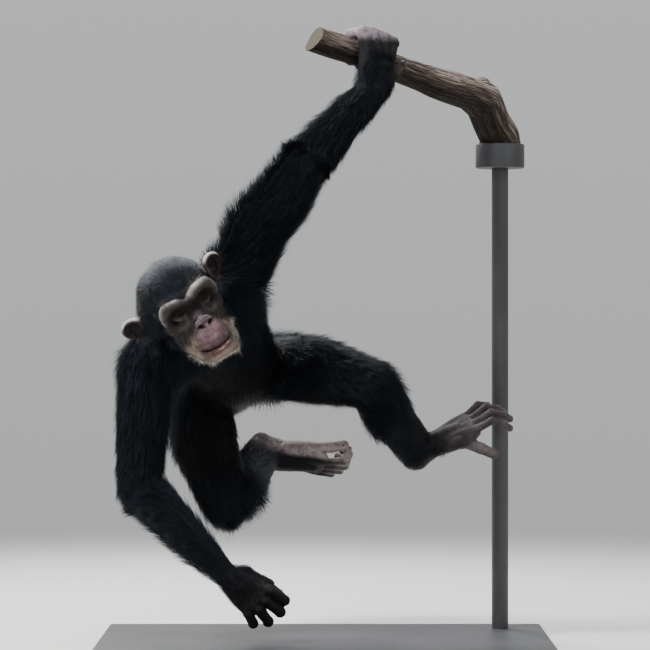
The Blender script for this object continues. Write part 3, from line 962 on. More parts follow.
def skin_colours(places):
    """The colour of the skin at each place."""
    colours = np.tile(np.array((0.0100, 0.0095, 0.0110)), (len(places), 1))
    local = to_head(places)
    face_colours = colours.copy()
    mirrored = np.abs(local) * np.array((1, 0, 0)) + local * np.array((0, 1, 1))
    for centre, reach, colour, strength in HEAD_ZONES:
        airbrush(face_colours, mirrored, centre, reach, colour, strength)
    speckle = 0.74 + 0.26 * np.sin(places[:, [0]] * 1900) * np.sin(places[:, [2]] * 1700)
    edge = (np.exp(-(line_distance(mirrored, BROW_EDGE) / 0.0054) ** 2)[:, None] * speckle
            * soft_step(local[:, [2]], -0.014, 0.008))
    face_colours = face_colours * (1 - edge) + np.array(PALE_BROW) * edge
    for glint, reach in (((0.000, -0.044, -0.0802), (0.012, 0.022, 0.0027)), ((0.016, -0.040, -0.0790), (0.009, 0.022, 0.0024))):
        airbrush(face_colours, local, glint, reach, LIP_GLINT, 0.75)
    inner_mouth = [(x, y + 0.0060, z) for x, y, z in SMILE]
    dark = soft_step(0.0052 - line_distance(local, inner_mouth), 0, 0.0022)[:, None]
    face_colours = face_colours * (1 - dark) + np.array((0.016, 0.007, 0.007)) * dark
    on_face = bare_face(local)[:, None]
    colours = colours * (1 - on_face) + face_colours * on_face
    middle, height = (values[:, None] for values in ear_place(local))
    in_ear = (middle < 2) * soft_step(np.abs(local[:, [0]]), 0.066, 0.070)
    rim = soft_step(middle, 0.72, 0.92)
    top = soft_step(height, 0.004, 0.016)
    rim_colours = np.array(EAR_BROWN) * (1 - top) + np.array(EAR_RIM) * top
    ear_colours = np.array(EAR_DARK) * (1 - rim) + rim_colours * rim
    colours = colours * (1 - in_ear) + ear_colours * in_ear
    airbrush(colours, places, WRIST_LEFT + Vector((0.01, 0, 0.06)), (0.09, 0.09, 0.075), HAND_DARK, 1.0)
    lilac = soft_step(places[:, [2]], KNUCKLE_Z - 0.006, KNUCKLE_Z + 0.014) * soft_step(places[:, [0]], -0.05, -0.03)
    colours[:] = colours * (1 - lilac) + np.array(HAND_LILAC) * lilac
    airbrush(colours, places, around(0.044, -108, 0.045), (0.022, 0.024, 0.022), (0.075, 0.055, 0.053), 0.8)
    airbrush(colours, places, WRIST_RIGHT + Vector((0.06, 0, -0.05)), (0.12, 0.12, 0.12), HAND_DARK, 1.0)
    airbrush(colours, places, WRIST_RIGHT + Vector((0.075, 0.01, -0.015)), (0.024, 0.026, 0.018), (0.045, 0.036, 0.036), 0.6)
    for ankle, (forward, sole, inward), start in ((ANKLE_LEFT, LEFT_FOOT, 0.012), (ANKLE_RIGHT, RIGHT_FOOT, 0.030)):
        offset = places - np.array(ankle)
        fore, under = offset @ np.array(forward), offset @ np.array(sole)
        near = np.clip(1.5 - np.linalg.norm(offset - np.array(0.085 * forward), axis=1) / 0.10, 0, 1)
        dark_back = 0.045 * soft_step(-under, -0.004, 0.008) if start > 0.02 else 0.0
        share = (soft_step(fore - dark_back, start, start + 0.045) * near)[:, None]
        toes = soft_step(fore, 0.085, 0.125)[:, None]
        colours[:] = colours * (1 - share) + (np.array(FOOT_GREY) * (1 - toes) + np.array(TOE_GREY) * toes) * share
        pad, pale = (0.008, 0.15) if start < 0.02 else (-0.010, 1.0)
        share = (soft_step(under, pad, pad + 0.009) * soft_step(fore, -0.050, -0.030) * near)[:, None]
        furrows = 0.88 + 0.12 * np.sin(1000 * fore + 4 * np.sin(330 * under) + 3 * np.sin(150 * fore))[:, None]
        sole_colours = (np.array(TOE_GREY) * (1 - pale) + np.array(SOLE_PINK) * pale) * furrows
        colours[:] = colours * (1 - share) + sole_colours * share
    return colours


def paint(mesh, name, values, kind):
    """Stores one value for each point of a mesh."""
    layer = mesh.attributes.get(name) or mesh.attributes.new(name, kind, "POINT")
    key = {"FLOAT": "value", "FLOAT_VECTOR": "vector", "FLOAT_COLOR": "color"}[kind]
    if kind == "FLOAT_COLOR":
        values = np.concatenate([values, np.ones((len(values), 1))], axis=1)
    layer.data.foreach_set(key, np.ascontiguousarray(values, dtype=np.float32).ravel())


paint(skin.data, "tone", skin_colours(places), "FLOAT_COLOR")
lips = to_head(places) * np.array((1, 1, 1))
wet = np.exp(-(line_distance(lips, SMILE) / 0.0055) ** 2)
wet += 0.45 * np.clip(1.5 * (1 - np.linalg.norm((lips - np.array((0, -0.036, -0.054))) / np.array((0.034, 0.026, 0.020)), axis=1)), 0, 1)
paint(skin.data, "wet", np.clip(wet, 0, 1), "FLOAT")
skin_finish, tree, shader, add = node_material("creased_skin")
tone = add("ShaderNodeVertexColor", {"layer_name": "tone"})
coordinates = add("ShaderNodeTexCoord")
mottle = add("ShaderNodeTexNoise", None, Vector=coordinates.outputs["Object"], Scale=85.0, Detail=6.0, Roughness=0.65)
mottle_shade = add("ShaderNodeValToRGB", None, Fac=mottle.outputs["Fac"])
ramp(mottle_shade, ((0.30, (0.48, 0.45, 0.45)), (0.52, (1.0, 1.0, 1.0)), (0.75, (1.35, 1.30, 1.25))))
in_head = add("ShaderNodeMapping", {"vector_type": "TEXTURE"}, Vector=coordinates.outputs["Object"])
in_head.inputs["Location"].default_value = BROW_CENTRE
in_head.inputs["Rotation"].default_value = HEAD_TURN.to_euler()
head_axes = add("ShaderNodeSeparateXYZ", None, Vector=in_head.outputs["Vector"])
off_middle = add("ShaderNodeMath", {"operation": "ABSOLUTE"})
tree.links.new(head_axes.outputs["X"], off_middle.inputs[0])
one_side = add("ShaderNodeCombineXYZ", None, X=off_middle.outputs[0], Y=head_axes.outputs["Y"], Z=head_axes.outputs["Z"])
waver = add("ShaderNodeTexNoise", None, Vector=coordinates.outputs["Object"], Scale=95.0, Detail=2.0)
waver_off = add("ShaderNodeVectorMath", {"operation": "MULTIPLY_ADD"})
tree.links.new(waver.outputs["Color"], waver_off.inputs[0])
waver_off.inputs[1].default_value = (0.006, 0.006, 0.006)
tree.links.new(one_side.outputs["Vector"], waver_off.inputs[2])
EYE_RING_CENTRE = (EYE_X + 0.0030, -0.0030, 0.0020)


def wrinkles(centre, stretch, spacing, inside, outside):
    """Rings of fine folds about a place of the head, between two distances from it: 1 in a fold and 0 between."""
    offset = add("ShaderNodeVectorMath", {"operation": "SUBTRACT"})
    tree.links.new(waver_off.outputs["Vector"], offset.inputs[0])
    offset.inputs[1].default_value = centre
    squashed = add("ShaderNodeVectorMath", {"operation": "MULTIPLY"})
    tree.links.new(offset.outputs["Vector"], squashed.inputs[0])
    squashed.inputs[1].default_value = stretch
    away = add("ShaderNodeVectorMath", {"operation": "LENGTH"})
    tree.links.new(squashed.outputs["Vector"], away.inputs[0])
    phase = add("ShaderNodeMath", {"operation": "MULTIPLY"})
    tree.links.new(away.outputs["Value"], phase.inputs[0])
    phase.inputs[1].default_value = 2 * math.pi / spacing
    wave = add("ShaderNodeMath", {"operation": "SINE"})
    tree.links.new(phase.outputs[0], wave.inputs[0])
    fold = add("ShaderNodeMapRange", {"interpolation_type": "SMOOTHSTEP"}, Value=wave.outputs[0], From_Min=0.25, From_Max=0.98)
    begin = add("ShaderNodeMapRange", {"interpolation_type": "SMOOTHSTEP"}, Value=away.outputs["Value"],
                From_Min=inside[0], From_Max=inside[1])
    end = add("ShaderNodeMapRange", {"interpolation_type": "SMOOTHSTEP"}, Value=away.outputs["Value"],
              From_Min=outside[0], From_Max=outside[1], To_Min=1.0, To_Max=0.0)
    within = add("ShaderNodeMath", {"operation": "MULTIPLY"})
    tree.links.new(begin.outputs["Result"], within.inputs[0])
    tree.links.new(end.outputs["Result"], within.inputs[1])
    made = add("ShaderNodeMath", {"operation": "MULTIPLY"})
    tree.links.new(fold.outputs["Result"], made.inputs[0])
    tree.links.new(within.outputs[0], made.inputs[1])
    return made.outputs[0]


eye_folds = wrinkles(EYE_RING_CENTRE, (1.0, 0.35, 1.20), 0.0032, (0.0060, 0.0080), (0.019, 0.027))
nose_folds = wrinkles((0.0, -0.030, -0.050), (0.80, 0.3, 1.0), 0.0036, (0.0235, 0.0265), (0.033, 0.041))
nose_part = add("ShaderNodeMath", {"operation": "MULTIPLY"})
tree.links.new(nose_folds, nose_part.inputs[0])
nose_part.inputs[1].default_value = 0.6
all_folds = add("ShaderNodeMath", {"operation": "MAXIMUM"})
tree.links.new(eye_folds, all_folds.inputs[0])
tree.links.new(nose_part.outputs[0], all_folds.inputs[1])
speckled = add("ShaderNodeMix", {"data_type": "RGBA", "blend_type": "MULTIPLY"})
speckled.inputs[0].default_value = 0.95
tree.links.new(tone.outputs["Color"], speckled.inputs[6])
tree.links.new(mottle_shade.outputs["Color"], speckled.inputs[7])
folded = add("ShaderNodeMix", {"data_type": "RGBA"})
tree.links.new(all_folds.outputs[0], folded.inputs[0])
tree.links.new(speckled.outputs[2], folded.inputs[6])
folded.inputs[7].default_value = (0.016, 0.010, 0.010, 1)
tree.links.new(folded.outputs[2], shader.inputs["Base Color"])
wetness = add("ShaderNodeAttribute", {"attribute_name": "wet"})
skin_gloss = add("ShaderNodeMapRange", None, Value=wetness.outputs["Fac"], To_Min=0.58, To_Max=0.18)
tree.links.new(skin_gloss.outputs["Result"], shader.inputs["Roughness"])
shader.inputs["Specular IOR Level"].default_value = 0.16
shader.inputs["Subsurface Weight"].default_value = 0.08
shader.inputs["Subsurface Radius"].default_value = (0.004, 0.002, 0.0015)
leather = add("ShaderNodeTexVoronoi", {"feature": "DISTANCE_TO_EDGE"}, Vector=coordinates.outputs["Object"], Scale=760.0)
leather_soft = add("ShaderNodeMapRange", None, Value=leather.outputs["Distance"], From_Min=0.0, From_Max=0.16)
folds = add("ShaderNodeTexNoise", None, Vector=coordinates.outputs["Object"], Scale=240.0, Detail=5.0, Roughness=0.6)
height = add("ShaderNodeMath", {"operation": "ADD"})
tree.links.new(leather_soft.outputs["Result"], height.inputs[0])
tree.links.new(folds.outputs["Fac"], height.inputs[1])
deep = add("ShaderNodeMath", {"operation": "MULTIPLY_ADD"})
tree.links.new(all_folds.outputs[0], deep.inputs[0])
deep.inputs[1].default_value = -2.4
tree.links.new(height.outputs[0], deep.inputs[2])
bump = add("ShaderNodeBump", None, Height=deep.outputs[0], Strength=0.60, Distance=0.0007)
tree.links.new(bump.outputs["Normal"], shader.inputs["Normal"])
skin.data.materials.clear()
skin.data.materials.append(skin_finish)
skin.data.shade_smooth()
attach(skin, "root")
FLESH = [name for name in frame["nodes"] if not name.startswith(("stand_", "perch_", "eye_"))]
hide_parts(*FLESH)

# Eyes: glossy balls with a warm brown iris, a black pupil and a dark white, a little bulged at the cornea, set behind
# the parted lids.
GAZE = direction(0.02, -1.0, 0.02)
eye_finish, tree, shader, add = node_material("wet_eye")
ring = add("ShaderNodeAttribute", {"attribute_name": "ring"})
iris = add("ShaderNodeValToRGB", None, Fac=ring.outputs["Fac"])
ramp(iris, ((0.0, (0.002, 0.002, 0.002)), (0.23, (0.003, 0.002, 0.002)), (0.27, (0.026, 0.012, 0.007)),
            (0.44, (0.018, 0.008, 0.005)), (0.52, (0.006, 0.004, 0.004)), (0.62, (0.008, 0.006, 0.005)),
            (1.0, (0.016, 0.010, 0.009))))
tree.links.new(iris.outputs["Color"], shader.inputs["Base Color"])
shader.inputs["Roughness"].default_value = 0.22
shader.inputs["Specular IOR Level"].default_value = 0.06
shader.inputs["Coat Weight"].default_value = 0.14
shader.inputs["Coat Roughness"].default_value = 0.02
for side, name in ((1, "left"), (-1, "right")):
    bm = bmesh.new()
    bmesh.ops.create_uvsphere(bm, u_segments=48, v_segments=32, radius=EYE_R)
    for v in bm.verts:
        if v.co.z > 0:
            v.co *= 1 + 0.05 * max(0, 1 - math.hypot(v.co.x, v.co.y) / (0.62 * EYE_R)) ** 0.8
    rings = [math.atan2(math.hypot(v.co.x, v.co.y), v.co.z) / (math.pi / 2) for v in bm.verts]
    aim = (HEAD_TURN @ Vector((0.05 * side, -1, 0.0))).lerp(GAZE, 0.45).normalized().to_track_quat("Z", "Y")
    bmesh.ops.transform(bm, matrix=Matrix.Translation(head_point(side * EYE_X, EYE_Y, EYE_Z))
                        @ aim.to_matrix().to_4x4(), verts=bm.verts)
    eye = new_object("eyeball_" + name, bm)
    paint(eye.data, "ring", np.clip(np.array(rings), 0, 1), "FLOAT")
    eye.data.materials.append(eye_finish)
    eye.data.shade_smooth()
    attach(eye, "root")
    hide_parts("eye_" + name)

# Nails: small curved plates of dark horn on the tips of the fingers and toes, grown from the skin.
nail_finish, tree, shader, add = node_material("dark_horn")
coordinates = add("ShaderNodeTexCoord")
streak = add("ShaderNodeTexNoise", None, Vector=coordinates.outputs["Object"], Scale=420.0, Detail=4.0)
tone = add("ShaderNodeValToRGB", None, Fac=streak.outputs["Fac"])
ramp(tone, ((0.3, (0.020, 0.016, 0.014)), (0.7, (0.075, 0.060, 0.052))))
tree.links.new(tone.outputs["Color"], shader.inputs["Base Color"])
shader.inputs["Roughness"].default_value = 0.32
for number, bm in enumerate(nails):
    plate = new_object(f"nail_{number}", bm)
    bm = bmesh.new()
    bm.from_mesh(plate.data)
    bmesh.ops.recalc_face_normals(bm, faces=bm.faces)
    bm.to_mesh(plate.data)
    bm.free()
    plate.data.materials.append(nail_finish)
    plate.data.shade_smooth()
    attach(plate, "root")

# Coat: long, slightly curved black hair in fine tufts, rooted in the skin and combed along each limb towards the
# elbow, knee or back. It is long on the limbs and back, short on the head, and stands up along the raised arm.
BONES = {
    "upper_arm_left": (SHOULDER_LEFT, ELBOW_LEFT, 1, 0.045, 0.25), "forearm_left": (ELBOW_LEFT, WRIST_LEFT, -1, 0.040, 0.15),
    "upper_arm_right": (SHOULDER_RIGHT, ELBOW_RIGHT, 1, 0.043, 0.0), "forearm_right": (ELBOW_RIGHT, WRIST_RIGHT, -1, 0.038, 0.45),
    "thigh_left": (HIP_LEFT.lerp(KNEE_LEFT, 0.15), KNEE_LEFT, 1, 0.043, 0.40),
    "thigh_right": (HIP_RIGHT.lerp(KNEE_RIGHT, 0.15), KNEE_RIGHT, 1, 0.043, 0.0),
    "shin_left": (KNEE_LEFT, ANKLE_LEFT, 1, 0.034, 0.0), "shin_right": (KNEE_RIGHT, ANKLE_RIGHT, 1, 0.034, 0.25),
    "chest": (CHEST + 0.03 * along, CHEST.lerp(PELVIS, 0.45), 1, 0.044, 0.6),
    "abdomen": (CHEST.lerp(PELVIS, 0.62), PELVIS, 1, 0.044, 0.6),
    "neck": (SKULL_BASE, NECK_BASE, 1, 0.034, 0.5),
}
BONE_R = {"upper_arm_left": 0.044, "forearm_left": 0.033, "upper_arm_right": 0.042, "forearm_right": 0.032,
          "thigh_left": 0.055, "thigh_right": 0.055, "shin_left": 0.031, "shin_right": 0.031, "chest": 0.085,
          "abdomen": 0.075, "neck": 0.052}
scalp = skin.copy()
scalp.data = skin.data.copy()
scalp.name = "scalp"
bpy.context.scene.collection.objects.link(scalp)
thin = scalp.modifiers.new("thin", "DECIMATE")
thin.ratio = 0.11
evaluated(scalp)
for other in bpy.context.view_layer.objects:
    other.select_set(other == scalp)
bpy.context.view_layer.objects.active = scalp
bpy.ops.object.mode_set(mode="EDIT")
bpy.ops.mesh.select_all(action="SELECT")
scalp.data.uv_layers.new(name="root_map")
bpy.ops.uv.smart_project(angle_limit=math.radians(66), island_margin=0.001)
bpy.ops.object.mode_set(mode="OBJECT")
places, normals = vertex_data(scalp.data)
local = to_head(places)
names = list(BONES)
gaps = []
for name in names:
    start, end = BONES[name][:2]
    gaps.append(line_distance(places, [start, end]) - BONE_R[name])
gaps = np.stack(gaps, axis=1)
closeness = np.exp(-np.clip(gaps - gaps.min(axis=1, keepdims=True), 0, 1) / 0.012)
closeness /= closeness.sum(axis=1, keepdims=True)
lie, length = np.zeros_like(places), np.zeros(len(places))
for i, name in enumerate(names):
    start, end, way, hair, drop = BONES[name]
    flow = np.array((end - start).normalized() * way) - drop * np.array((0, 0, 1))
    lie += closeness[:, i:i + 1] * flow / np.linalg.norm(flow)
    length += closeness[:, i] * hair


# The head's own coat: swept back over the crown, down the cheeks, and none on the face or in the ears
on_head = soft_step(0.110 - np.linalg.norm((local - np.array((0, 0.060, -0.005))) / np.array((1, 1.15, 1)), axis=1), 0.0, 0.02)
on_head = np.maximum(on_head, soft_step(0.060 - np.linalg.norm(local - np.array((0, 0.002, -0.070)), axis=1), 0, 0.012))
sideways = np.sign(local[:, 0]) * soft_step(np.abs(local[:, 0]), 0.01, 0.06)
head_lie = np.stack([0.42 * sideways, np.ones(len(places)), -0.25 - 0.9 * soft_step(-local[:, 2], -0.03, 0.05)], axis=1)
lie = lie * (1 - on_head[:, None]) + (head_lie @ np.array(HEAD_TURN).T) * on_head[:, None]
head_length = 0.019 + 0.010 * soft_step(-local[:, 0], 0.045, 0.070) + 0.012 * soft_step(-local[:, 2], -0.01, 0.05) + 0.014 * soft_step(local[:, 1], 0.06, 0.13)
length = length * (1 - on_head) + head_length * on_head
face = bare_face(local)
ear = (ear_place(local)[0] < 1.15) * soft_step(np.abs(local[:, 0]), 0.064, 0.068)
jaw_ring = [(-0.042, 0.002, -0.080), (-0.038, -0.003, -0.090), (-0.022, -0.016, -0.1030), (0, -0.020, -0.1060),
            (0.022, -0.014, -0.1080), (0.036, 0.000, -0.0970), (0.0445, 0.008, -0.0800), (0.0460, 0.012, -0.0700)]
beard = on_head * np.exp(-(line_distance(local, jaw_ring) / 0.0095) ** 2)
beard_lie = (local - np.array((0.003, 0, -0.062))) / 0.04 * np.array((1, 0, 1)) + np.array((0, -0.20, 0))
lie = lie * (1 - beard[:, None]) + (beard_lie @ np.array(HEAD_TURN).T) * beard[:, None]
length = length * (1 - beard) + 0.0070 * beard
bare = np.zeros(len(places))


def beyond(places, joint, way, fade_in):
    """0 before a plane across the limb, and 1 past it."""
    return soft_step((places - np.array(joint)) @ np.array(way.normalized()), 0, fade_in)


from_branch = line_distance(places, [around(-0.10, 0, 0), around(0.12, 0, 0)])
bare = np.maximum(bare, soft_step(0.056 - from_branch, 0, 0.004))
over_knuckles = soft_step(0.090 - from_branch, 0, 0.01) * soft_step(places[:, 2], KNUCKLE_Z - 0.012, KNUCKLE_Z)
bare = np.maximum(bare, over_knuckles)
for joint, before, past in ((WRIST_LEFT, ELBOW_LEFT, 0.075), (WRIST_RIGHT, ELBOW_RIGHT, 0.050)):
    way = joint - before
    near = soft_step(0.24 - np.linalg.norm(places - np.array(joint), axis=1), 0, 0.02)
    bare = np.maximum(bare, near * beyond(places, joint + past * way.normalized(), way, 0.030))
    far_down = (places - np.array(joint)) @ np.array(way.normalized())
    length *= 1 - (0.50 if joint == WRIST_LEFT else 0.60) * near * soft_step(far_down, -0.060, 0.012)
    length *= 1 - 0.50 * near * soft_step(far_down, 0.012, 0.040)
for ankle, knee, (forward, sole, inward) in ((ANKLE_LEFT, KNEE_LEFT, LEFT_FOOT), (ANKLE_RIGHT, KNEE_RIGHT, RIGHT_FOOT)):
    offset = places - np.array(ankle)
    fore, under = offset @ np.array(forward), offset @ np.array(sole)
    in_foot = soft_step(0.135 - np.linalg.norm(offset - np.array(0.085 * forward), axis=1), 0, 0.01)
    bare = np.maximum(bare, in_foot * soft_step(fore, 0.018, 0.036))
    pad = 0.012 if ankle == ANKLE_LEFT else -0.006
    bare = np.maximum(bare, in_foot * soft_step(under, pad, pad + 0.008) * soft_step(fore, -0.050, -0.040))
    near = soft_step(0.13 - np.linalg.norm(offset, axis=1), 0, 0.05)
    length *= 1 - 0.78 * near
under_calf = closeness[:, names.index("shin_left")] * np.clip(normals @ np.array(direction(-0.79, 0, -0.62)), 0, 1)
length *= 1 + 0.6 * under_calf
outer_calf = closeness[:, names.index("shin_right")] * np.clip(normals @ np.array(direction(0.68, 0, -0.73)), 0, 1)
length *= 1 + 0.5 * outer_calf
for elbow in (ELBOW_LEFT, ELBOW_RIGHT):
    length *= 1 - 0.35 * np.exp(-(np.linalg.norm(places - np.array(elbow), axis=1) / 0.055) ** 2)
inner_elbow = np.exp(-(np.linalg.norm(places - np.array(ELBOW_LEFT), axis=1) / 0.065) ** 2)
length *= 1 - 0.45 * inner_elbow * np.clip(normals @ np.array(direction(0.75, 0, -0.66)), 0, 1)
coat = np.maximum((1 - face) * (1 - ear) * (1 - bare), np.clip(1.4 * beard - 0.25, 0, 1))
tangent = lie - normals * np.sum(lie * normals, axis=1, keepdims=True)
tangent /= np.linalg.norm(tangent, axis=1, keepdims=True) + 1e-9
upper_edge = np.clip(normals @ np.array(direction(-0.75, 0, 0.66)), 0, 1) ** 2
raised_up = closeness[:, names.index("upper_arm_left")] + 0.25 * closeness[:, names.index("forearm_left")]
standing = 0.22 - 0.10 * on_head + 0.70 * raised_up * (1 - on_head) * soft_step(upper_edge, 0.35, 0.85)
lower_edge = np.clip(normals @ np.array(direction(-0.75, 0, -0.66)), 0, 1) ** 2
standing += 0.30 * closeness[:, names.index("forearm_right")] * soft_step(lower_edge, 0.35, 0.85) + 0.12 * beard
standing += 0.35 * under_calf
paint(scalp.data, "lie", tangent, "FLOAT_VECTOR")
paint(scalp.data, "length", length, "FLOAT")
paint(scalp.data, "standing", standing, "FLOAT")


def blade_shape(name, curl, sway):
    """A tuft one unit long: a thin three-sided blade that bends back towards the skin and a little to one side."""
    bm = bmesh.new()
    rings = []
    for z, half_width, thickness in ((0.28, 0.50, 0.24), (0.68, 0.36, 0.16)):
        bend_x, bend_y = -curl * z * abs(z), sway * z * abs(z)
        rings.append([bm.verts.new((thickness + bend_x, bend_y, z)),
                      bm.verts.new((-thickness / 2 + bend_x, half_width + bend_y, z)),
                      bm.verts.new((-thickness / 2 + bend_x, -half_width + bend_y, z))])
    root, tip = bm.verts.new((0, 0, -0.05)), bm.verts.new((-curl, sway, 1.0))
    for i in range(3):
        bm.faces.new((rings[0][(i + 1) % 3], rings[0][i], root))
    for low, high in zip(rings, rings[1:]):
        for i in range(3):
            bm.faces.new((low[i], low[(i + 1) % 3], high[(i + 1) % 3], high[i]))
    for i in range(3):
        bm.faces.new((rings[-1][i], rings[-1][(i + 1) % 3], tip))
    bmesh.ops.triangulate(bm, faces=bm.faces)
    bmesh.ops.recalc_face_normals(bm, faces=bm.faces)
    mesh = bpy.data.meshes.new(name)
    bm.to_mesh(mesh)
    bm.free()
    places = np.array([v.co for v in mesh.vertices])
    patch = np.stack([places[:, 1], places[:, 2] - 0.5, places[:, 2]], axis=1)
    paint(mesh, "patch", patch, "FLOAT_VECTOR")
    mesh.shade_smooth()
    return bpy.data.objects.new(name, mesh)


blades = bpy.data.collections.new("hair_blades")
for curl, sway in ((0.10, 0.04), (0.20, -0.06), (0.30, 0.10), (0.16, -0.14)):
    blades.objects.link(blade_shape(f"hair_blade_{len(blades.objects)}", curl, sway))

regions = np.argmax(closeness, axis=1)
regions[on_head > 0.5] = len(names)
regions[beard > 0.30] = len(names) + 1
corners = np.array([p.vertices[0] for p in scalp.data.polygons])
scalp.data.attributes.new("region", "INT", "FACE").data.foreach_set("value", regions[corners].astype(np.int32))
paint(scalp.data, "coat", coat, "FLOAT")
white = np.clip(1.5 * beard, 0, 1)
hair_tone = np.array((0.0034, 0.0036, 0.0047)) * np.ones((len(places), 1))
airbrush(hair_tone, places, BELLY + Vector((-0.01, -0.07, -0.03)), (0.110, 0.090, 0.075), (0.0190, 0.0145, 0.0110), 0.9)
airbrush(hair_tone, places, HIP_RIGHT.lerp(KNEE_RIGHT, 0.45), (0.085, 0.110, 0.100), (0.0200, 0.0150, 0.0125), 0.8)
airbrush(hair_tone, places, HIP_LEFT.lerp(KNEE_LEFT, 0.40) - Vector((0, 0, 0.06)), (0.110, 0.090, 0.045), (0.0210, 0.0155, 0.0120), 0.8)
airbrush(hair_tone, places, ANKLE_RIGHT.lerp(KNEE_RIGHT, 0.30) + Vector((0.004, -0.020, 0.004)), (0.065, 0.070, 0.080),
         (0.075, 0.080, 0.098), 0.9)
airbrush(hair_tone, places, (-0.312, -0.130, 0.704), (0.050, 0.090, 0.046), (0.0620, 0.0650, 0.0800), 0.9)
airbrush(hair_tone, places, (-0.268, -0.165, 0.712), (0.036, 0.060, 0.024), (0.0420, 0.0450, 0.0560), 0.8)
hair_tone = hair_tone * (1 - white[:, None]) + np.array((0.52, 0.49, 0.44)) * white[:, None]
paint(scalp.data, "hair_tone", hair_tone, "FLOAT_COLOR")

coat_tree = bpy.data.node_groups.new("comb_coat", "GeometryNodeTree")
for label, direction_, kind in (("Skin", "INPUT", "NodeSocketGeometry"), ("Region", "INPUT", "NodeSocketInt"),
                                ("Spacing", "INPUT", "NodeSocketFloat"), ("Width", "INPUT", "NodeSocketFloat"),
                                ("Straying", "INPUT", "NodeSocketFloat"), ("Density", "INPUT", "NodeSocketFloat"),
                                ("Seed", "INPUT", "NodeSocketInt"),
                                ("Coat", "OUTPUT", "NodeSocketGeometry")):
    coat_tree.interface.new_socket(label, in_out=direction_, socket_type=kind)
given = coat_tree.nodes.new("NodeGroupInput").outputs
result = coat_tree.nodes.new("NodeGroupOutput").inputs


def geo(kind, settings=None, links=()):
    """Adds a node to the coat's tree. Links are pairs of an input's number or name and a value or socket."""
    node = coat_tree.nodes.new(kind)
    for key, value in (settings or {}).items():
        setattr(node, key, value)
    for key, value in links:
        socket = node.inputs[key]
        if isinstance(value, bpy.types.NodeSocket):
            coat_tree.links.new(value, socket)
        else:
            socket.default_value = value
    return node


def painted(name, kind):
    return geo("GeometryNodeInputNamedAttribute", {"data_type": kind}, [("Name", name)]).outputs["Attribute"]


def vector(operation, *values):
    return geo("ShaderNodeVectorMath", {"operation": operation}, enumerate(values))


def number(operation, *values):
    return geo("ShaderNodeMath", {"operation": operation}, enumerate(values)).outputs[0]


here = geo("FunctionNodeCompare", {"data_type": "INT", "operation": "EQUAL"},
           [(2, painted("region", "INT")), (3, given["Region"])])
part_skin = geo("GeometryNodeSeparateGeometry", {"domain": "FACE"},
                [("Geometry", given["Skin"]), ("Selection", here.outputs["Result"])])
roots = geo("GeometryNodeDistributePointsOnFaces", {"distribute_method": "POISSON"},
            [("Mesh", part_skin.outputs[0]), ("Distance Min", given["Spacing"]), ("Density Max", given["Density"]),
             ("Density Factor", painted("coat", "FLOAT")), ("Seed", given["Seed"])])
stray = geo("FunctionNodeRandomValue", {"data_type": "FLOAT_VECTOR"},
            [(0, (-1, -1, -1)), (1, (1, 1, 1)), ("Seed", given["Seed"])])
clump_place = vector("SCALE", geo("GeometryNodeInputPosition").outputs[0])
clump_place.inputs["Scale"].default_value = 55.0
clump = geo("ShaderNodeTexNoise", None, [("Vector", clump_place.outputs[0]), ("Scale", 1.0), ("Detail", 1.0)])
clump_way = vector("SUBTRACT", clump.outputs["Color"], (0.5, 0.5, 0.5))
clump_pull = vector("SCALE", clump_way.outputs[0])
clump_pull.inputs["Scale"].default_value = 0.55
stray_pull = vector("SCALE", stray.outputs[0])
coat_tree.links.new(given["Straying"], stray_pull.inputs["Scale"])
lifted = vector("SCALE", roots.outputs["Normal"])
coat_tree.links.new(painted("standing", "FLOAT"), lifted.inputs["Scale"])
way = vector("ADD", painted("lie", "FLOAT_VECTOR"), lifted.outputs[0])
way = vector("ADD", way.outputs[0], clump_pull.outputs[0])
way = vector("ADD", way.outputs[0], stray_pull.outputs[0])
turned = geo("FunctionNodeAxesToRotation", {"primary_axis": "Z", "secondary_axis": "X"},
             [("Primary Axis", way.outputs[0]), ("Secondary Axis", roots.outputs["Normal"])])
vary = geo("FunctionNodeRandomValue", {"data_type": "FLOAT"}, [(2, 0.65), (3, 1.15), ("Seed", 11)])
long = number("MULTIPLY", painted("length", "FLOAT"), vary.outputs[1])
size = geo("ShaderNodeCombineXYZ", None, [("X", given["Width"]), ("Y", given["Width"]), ("Z", long)])
shapes = geo("GeometryNodeCollectionInfo", None,
             [("Collection", blades), ("Separate Children", True), ("Reset Children", True)])
kind_of = geo("FunctionNodeRandomValue", {"data_type": "INT"}, [(4, 0), (5, 3), ("Seed", 3)])
grown = geo("GeometryNodeInstanceOnPoints", None,
            [("Points", roots.outputs["Points"]), ("Instance", shapes.outputs[0]), ("Pick Instance", True),
             ("Instance Index", kind_of.outputs[2]), ("Rotation", turned.outputs[0]), ("Scale", size.outputs[0])])
tint = geo("FunctionNodeRandomValue", {"data_type": "FLOAT"}, [(2, 0.0), (3, 1.0), ("Seed", 21)])
tinted = geo("GeometryNodeStoreNamedAttribute", {"data_type": "FLOAT", "domain": "INSTANCE"},
             [("Geometry", grown.outputs[0]), ("Name", "tint"), ("Value", tint.outputs[1])])
real = geo("GeometryNodeRealizeInstances", None, [("Geometry", tinted.outputs[0])])
patch = vector("SCALE", painted("patch", "FLOAT_VECTOR"))
patch.inputs["Scale"].default_value = 0.003
bake_place = vector("ADD", painted("root_map", "FLOAT_VECTOR"), patch.outputs[0])
mapped = geo("GeometryNodeStoreNamedAttribute", {"data_type": "FLOAT2", "domain": "CORNER"},
             [("Geometry", real.outputs[0]), ("Name", "OFBake"), ("Value", bake_place.outputs[0])])

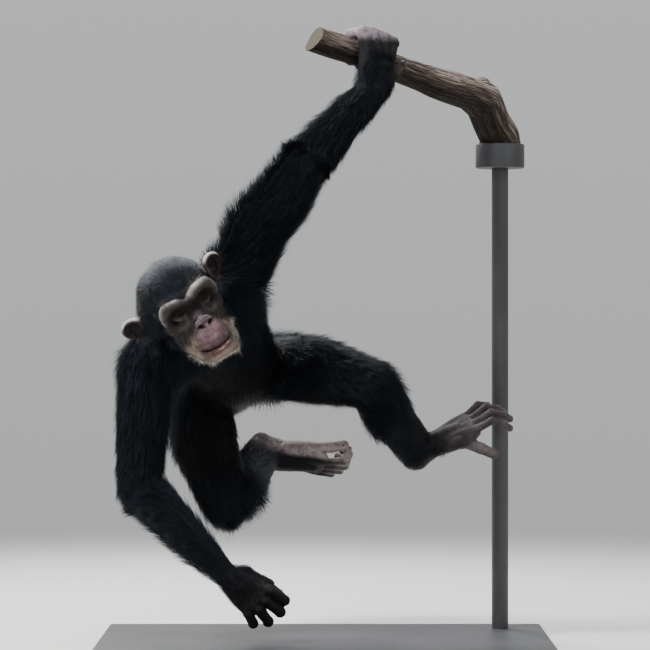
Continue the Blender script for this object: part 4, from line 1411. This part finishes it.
coat_finish, tree, shader, add = node_material("black_hair")
tone = add("ShaderNodeVertexColor", {"layer_name": "hair_tone"})
tint = add("ShaderNodeAttribute", {"attribute_name": "tint"})
shade = add("ShaderNodeMapRange", None, Value=tint.outputs["Fac"], To_Min=0.55, To_Max=1.7)
coordinates = add("ShaderNodeTexCoord")
streak = add("ShaderNodeTexNoise", None, Vector=coordinates.outputs["Object"], Scale=650.0, Detail=3.0)
mixed = add("ShaderNodeVectorMath", {"operation": "SCALE"}, Vector=tone.outputs["Color"])
tree.links.new(shade.outputs["Result"], mixed.inputs["Scale"])
tree.links.new(mixed.outputs["Vector"], shader.inputs["Base Color"])
rough = add("ShaderNodeMapRange", None, Value=streak.outputs["Fac"], To_Min=0.34, To_Max=0.58)
tree.links.new(rough.outputs["Result"], shader.inputs["Roughness"])
shader.inputs["Specular IOR Level"].default_value = 0.26
shader.inputs["Specular Tint"].default_value = (0.60, 0.76, 1.0, 1)
finish = geo("GeometryNodeSetMaterial", None, [("Geometry", mapped.outputs[0]), ("Material", coat_finish)])
coat_tree.links.new(finish.outputs[0], result["Coat"])

COAT_ROWS = {"upper_arm_left": 0.00162, "forearm_left": 0.0016, "upper_arm_right": 0.00162, "forearm_right": 0.0016,
             "thigh_left": 0.0017, "thigh_right": 0.0018, "shin_left": 0.0016, "shin_right": 0.0016,
             "chest": 0.0021, "abdomen": 0.0020, "neck": 0.0016, "head": 0.00125, "beard": 0.00048}
sockets = {item.name: item.identifier for item in coat_tree.interface.items_tree if item.in_out == "INPUT"}
COAT_WIDTHS = {"head": 0.00085, "beard": 0.00028}
for number_of, (name, spacing) in enumerate(COAT_ROWS.items()):
    piece = bpy.data.objects.new("coat_" + name, scalp.data.copy())
    bpy.context.scene.collection.objects.link(piece)
    comb = piece.modifiers.new("comb", "NODES")
    comb.node_group = coat_tree
    comb[sockets["Region"]] = number_of
    comb[sockets["Spacing"]] = spacing
    comb[sockets["Width"]] = COAT_WIDTHS.get(name, 0.0009)
    comb[sockets["Straying"]] = {"head": 0.05, "beard": 0.22}.get(name, 0.11)
    comb[sockets["Density"]] = 1500000.0 if name == "beard" else 400000.0
    comb[sockets["Seed"]] = 40 + number_of
    evaluated(piece)
    print("COAT", name, len(piece.data.polygons))
    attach(piece, "root")
bpy.data.objects.remove(scalp)
for shape in list(blades.objects):
    bpy.data.objects.remove(shape)
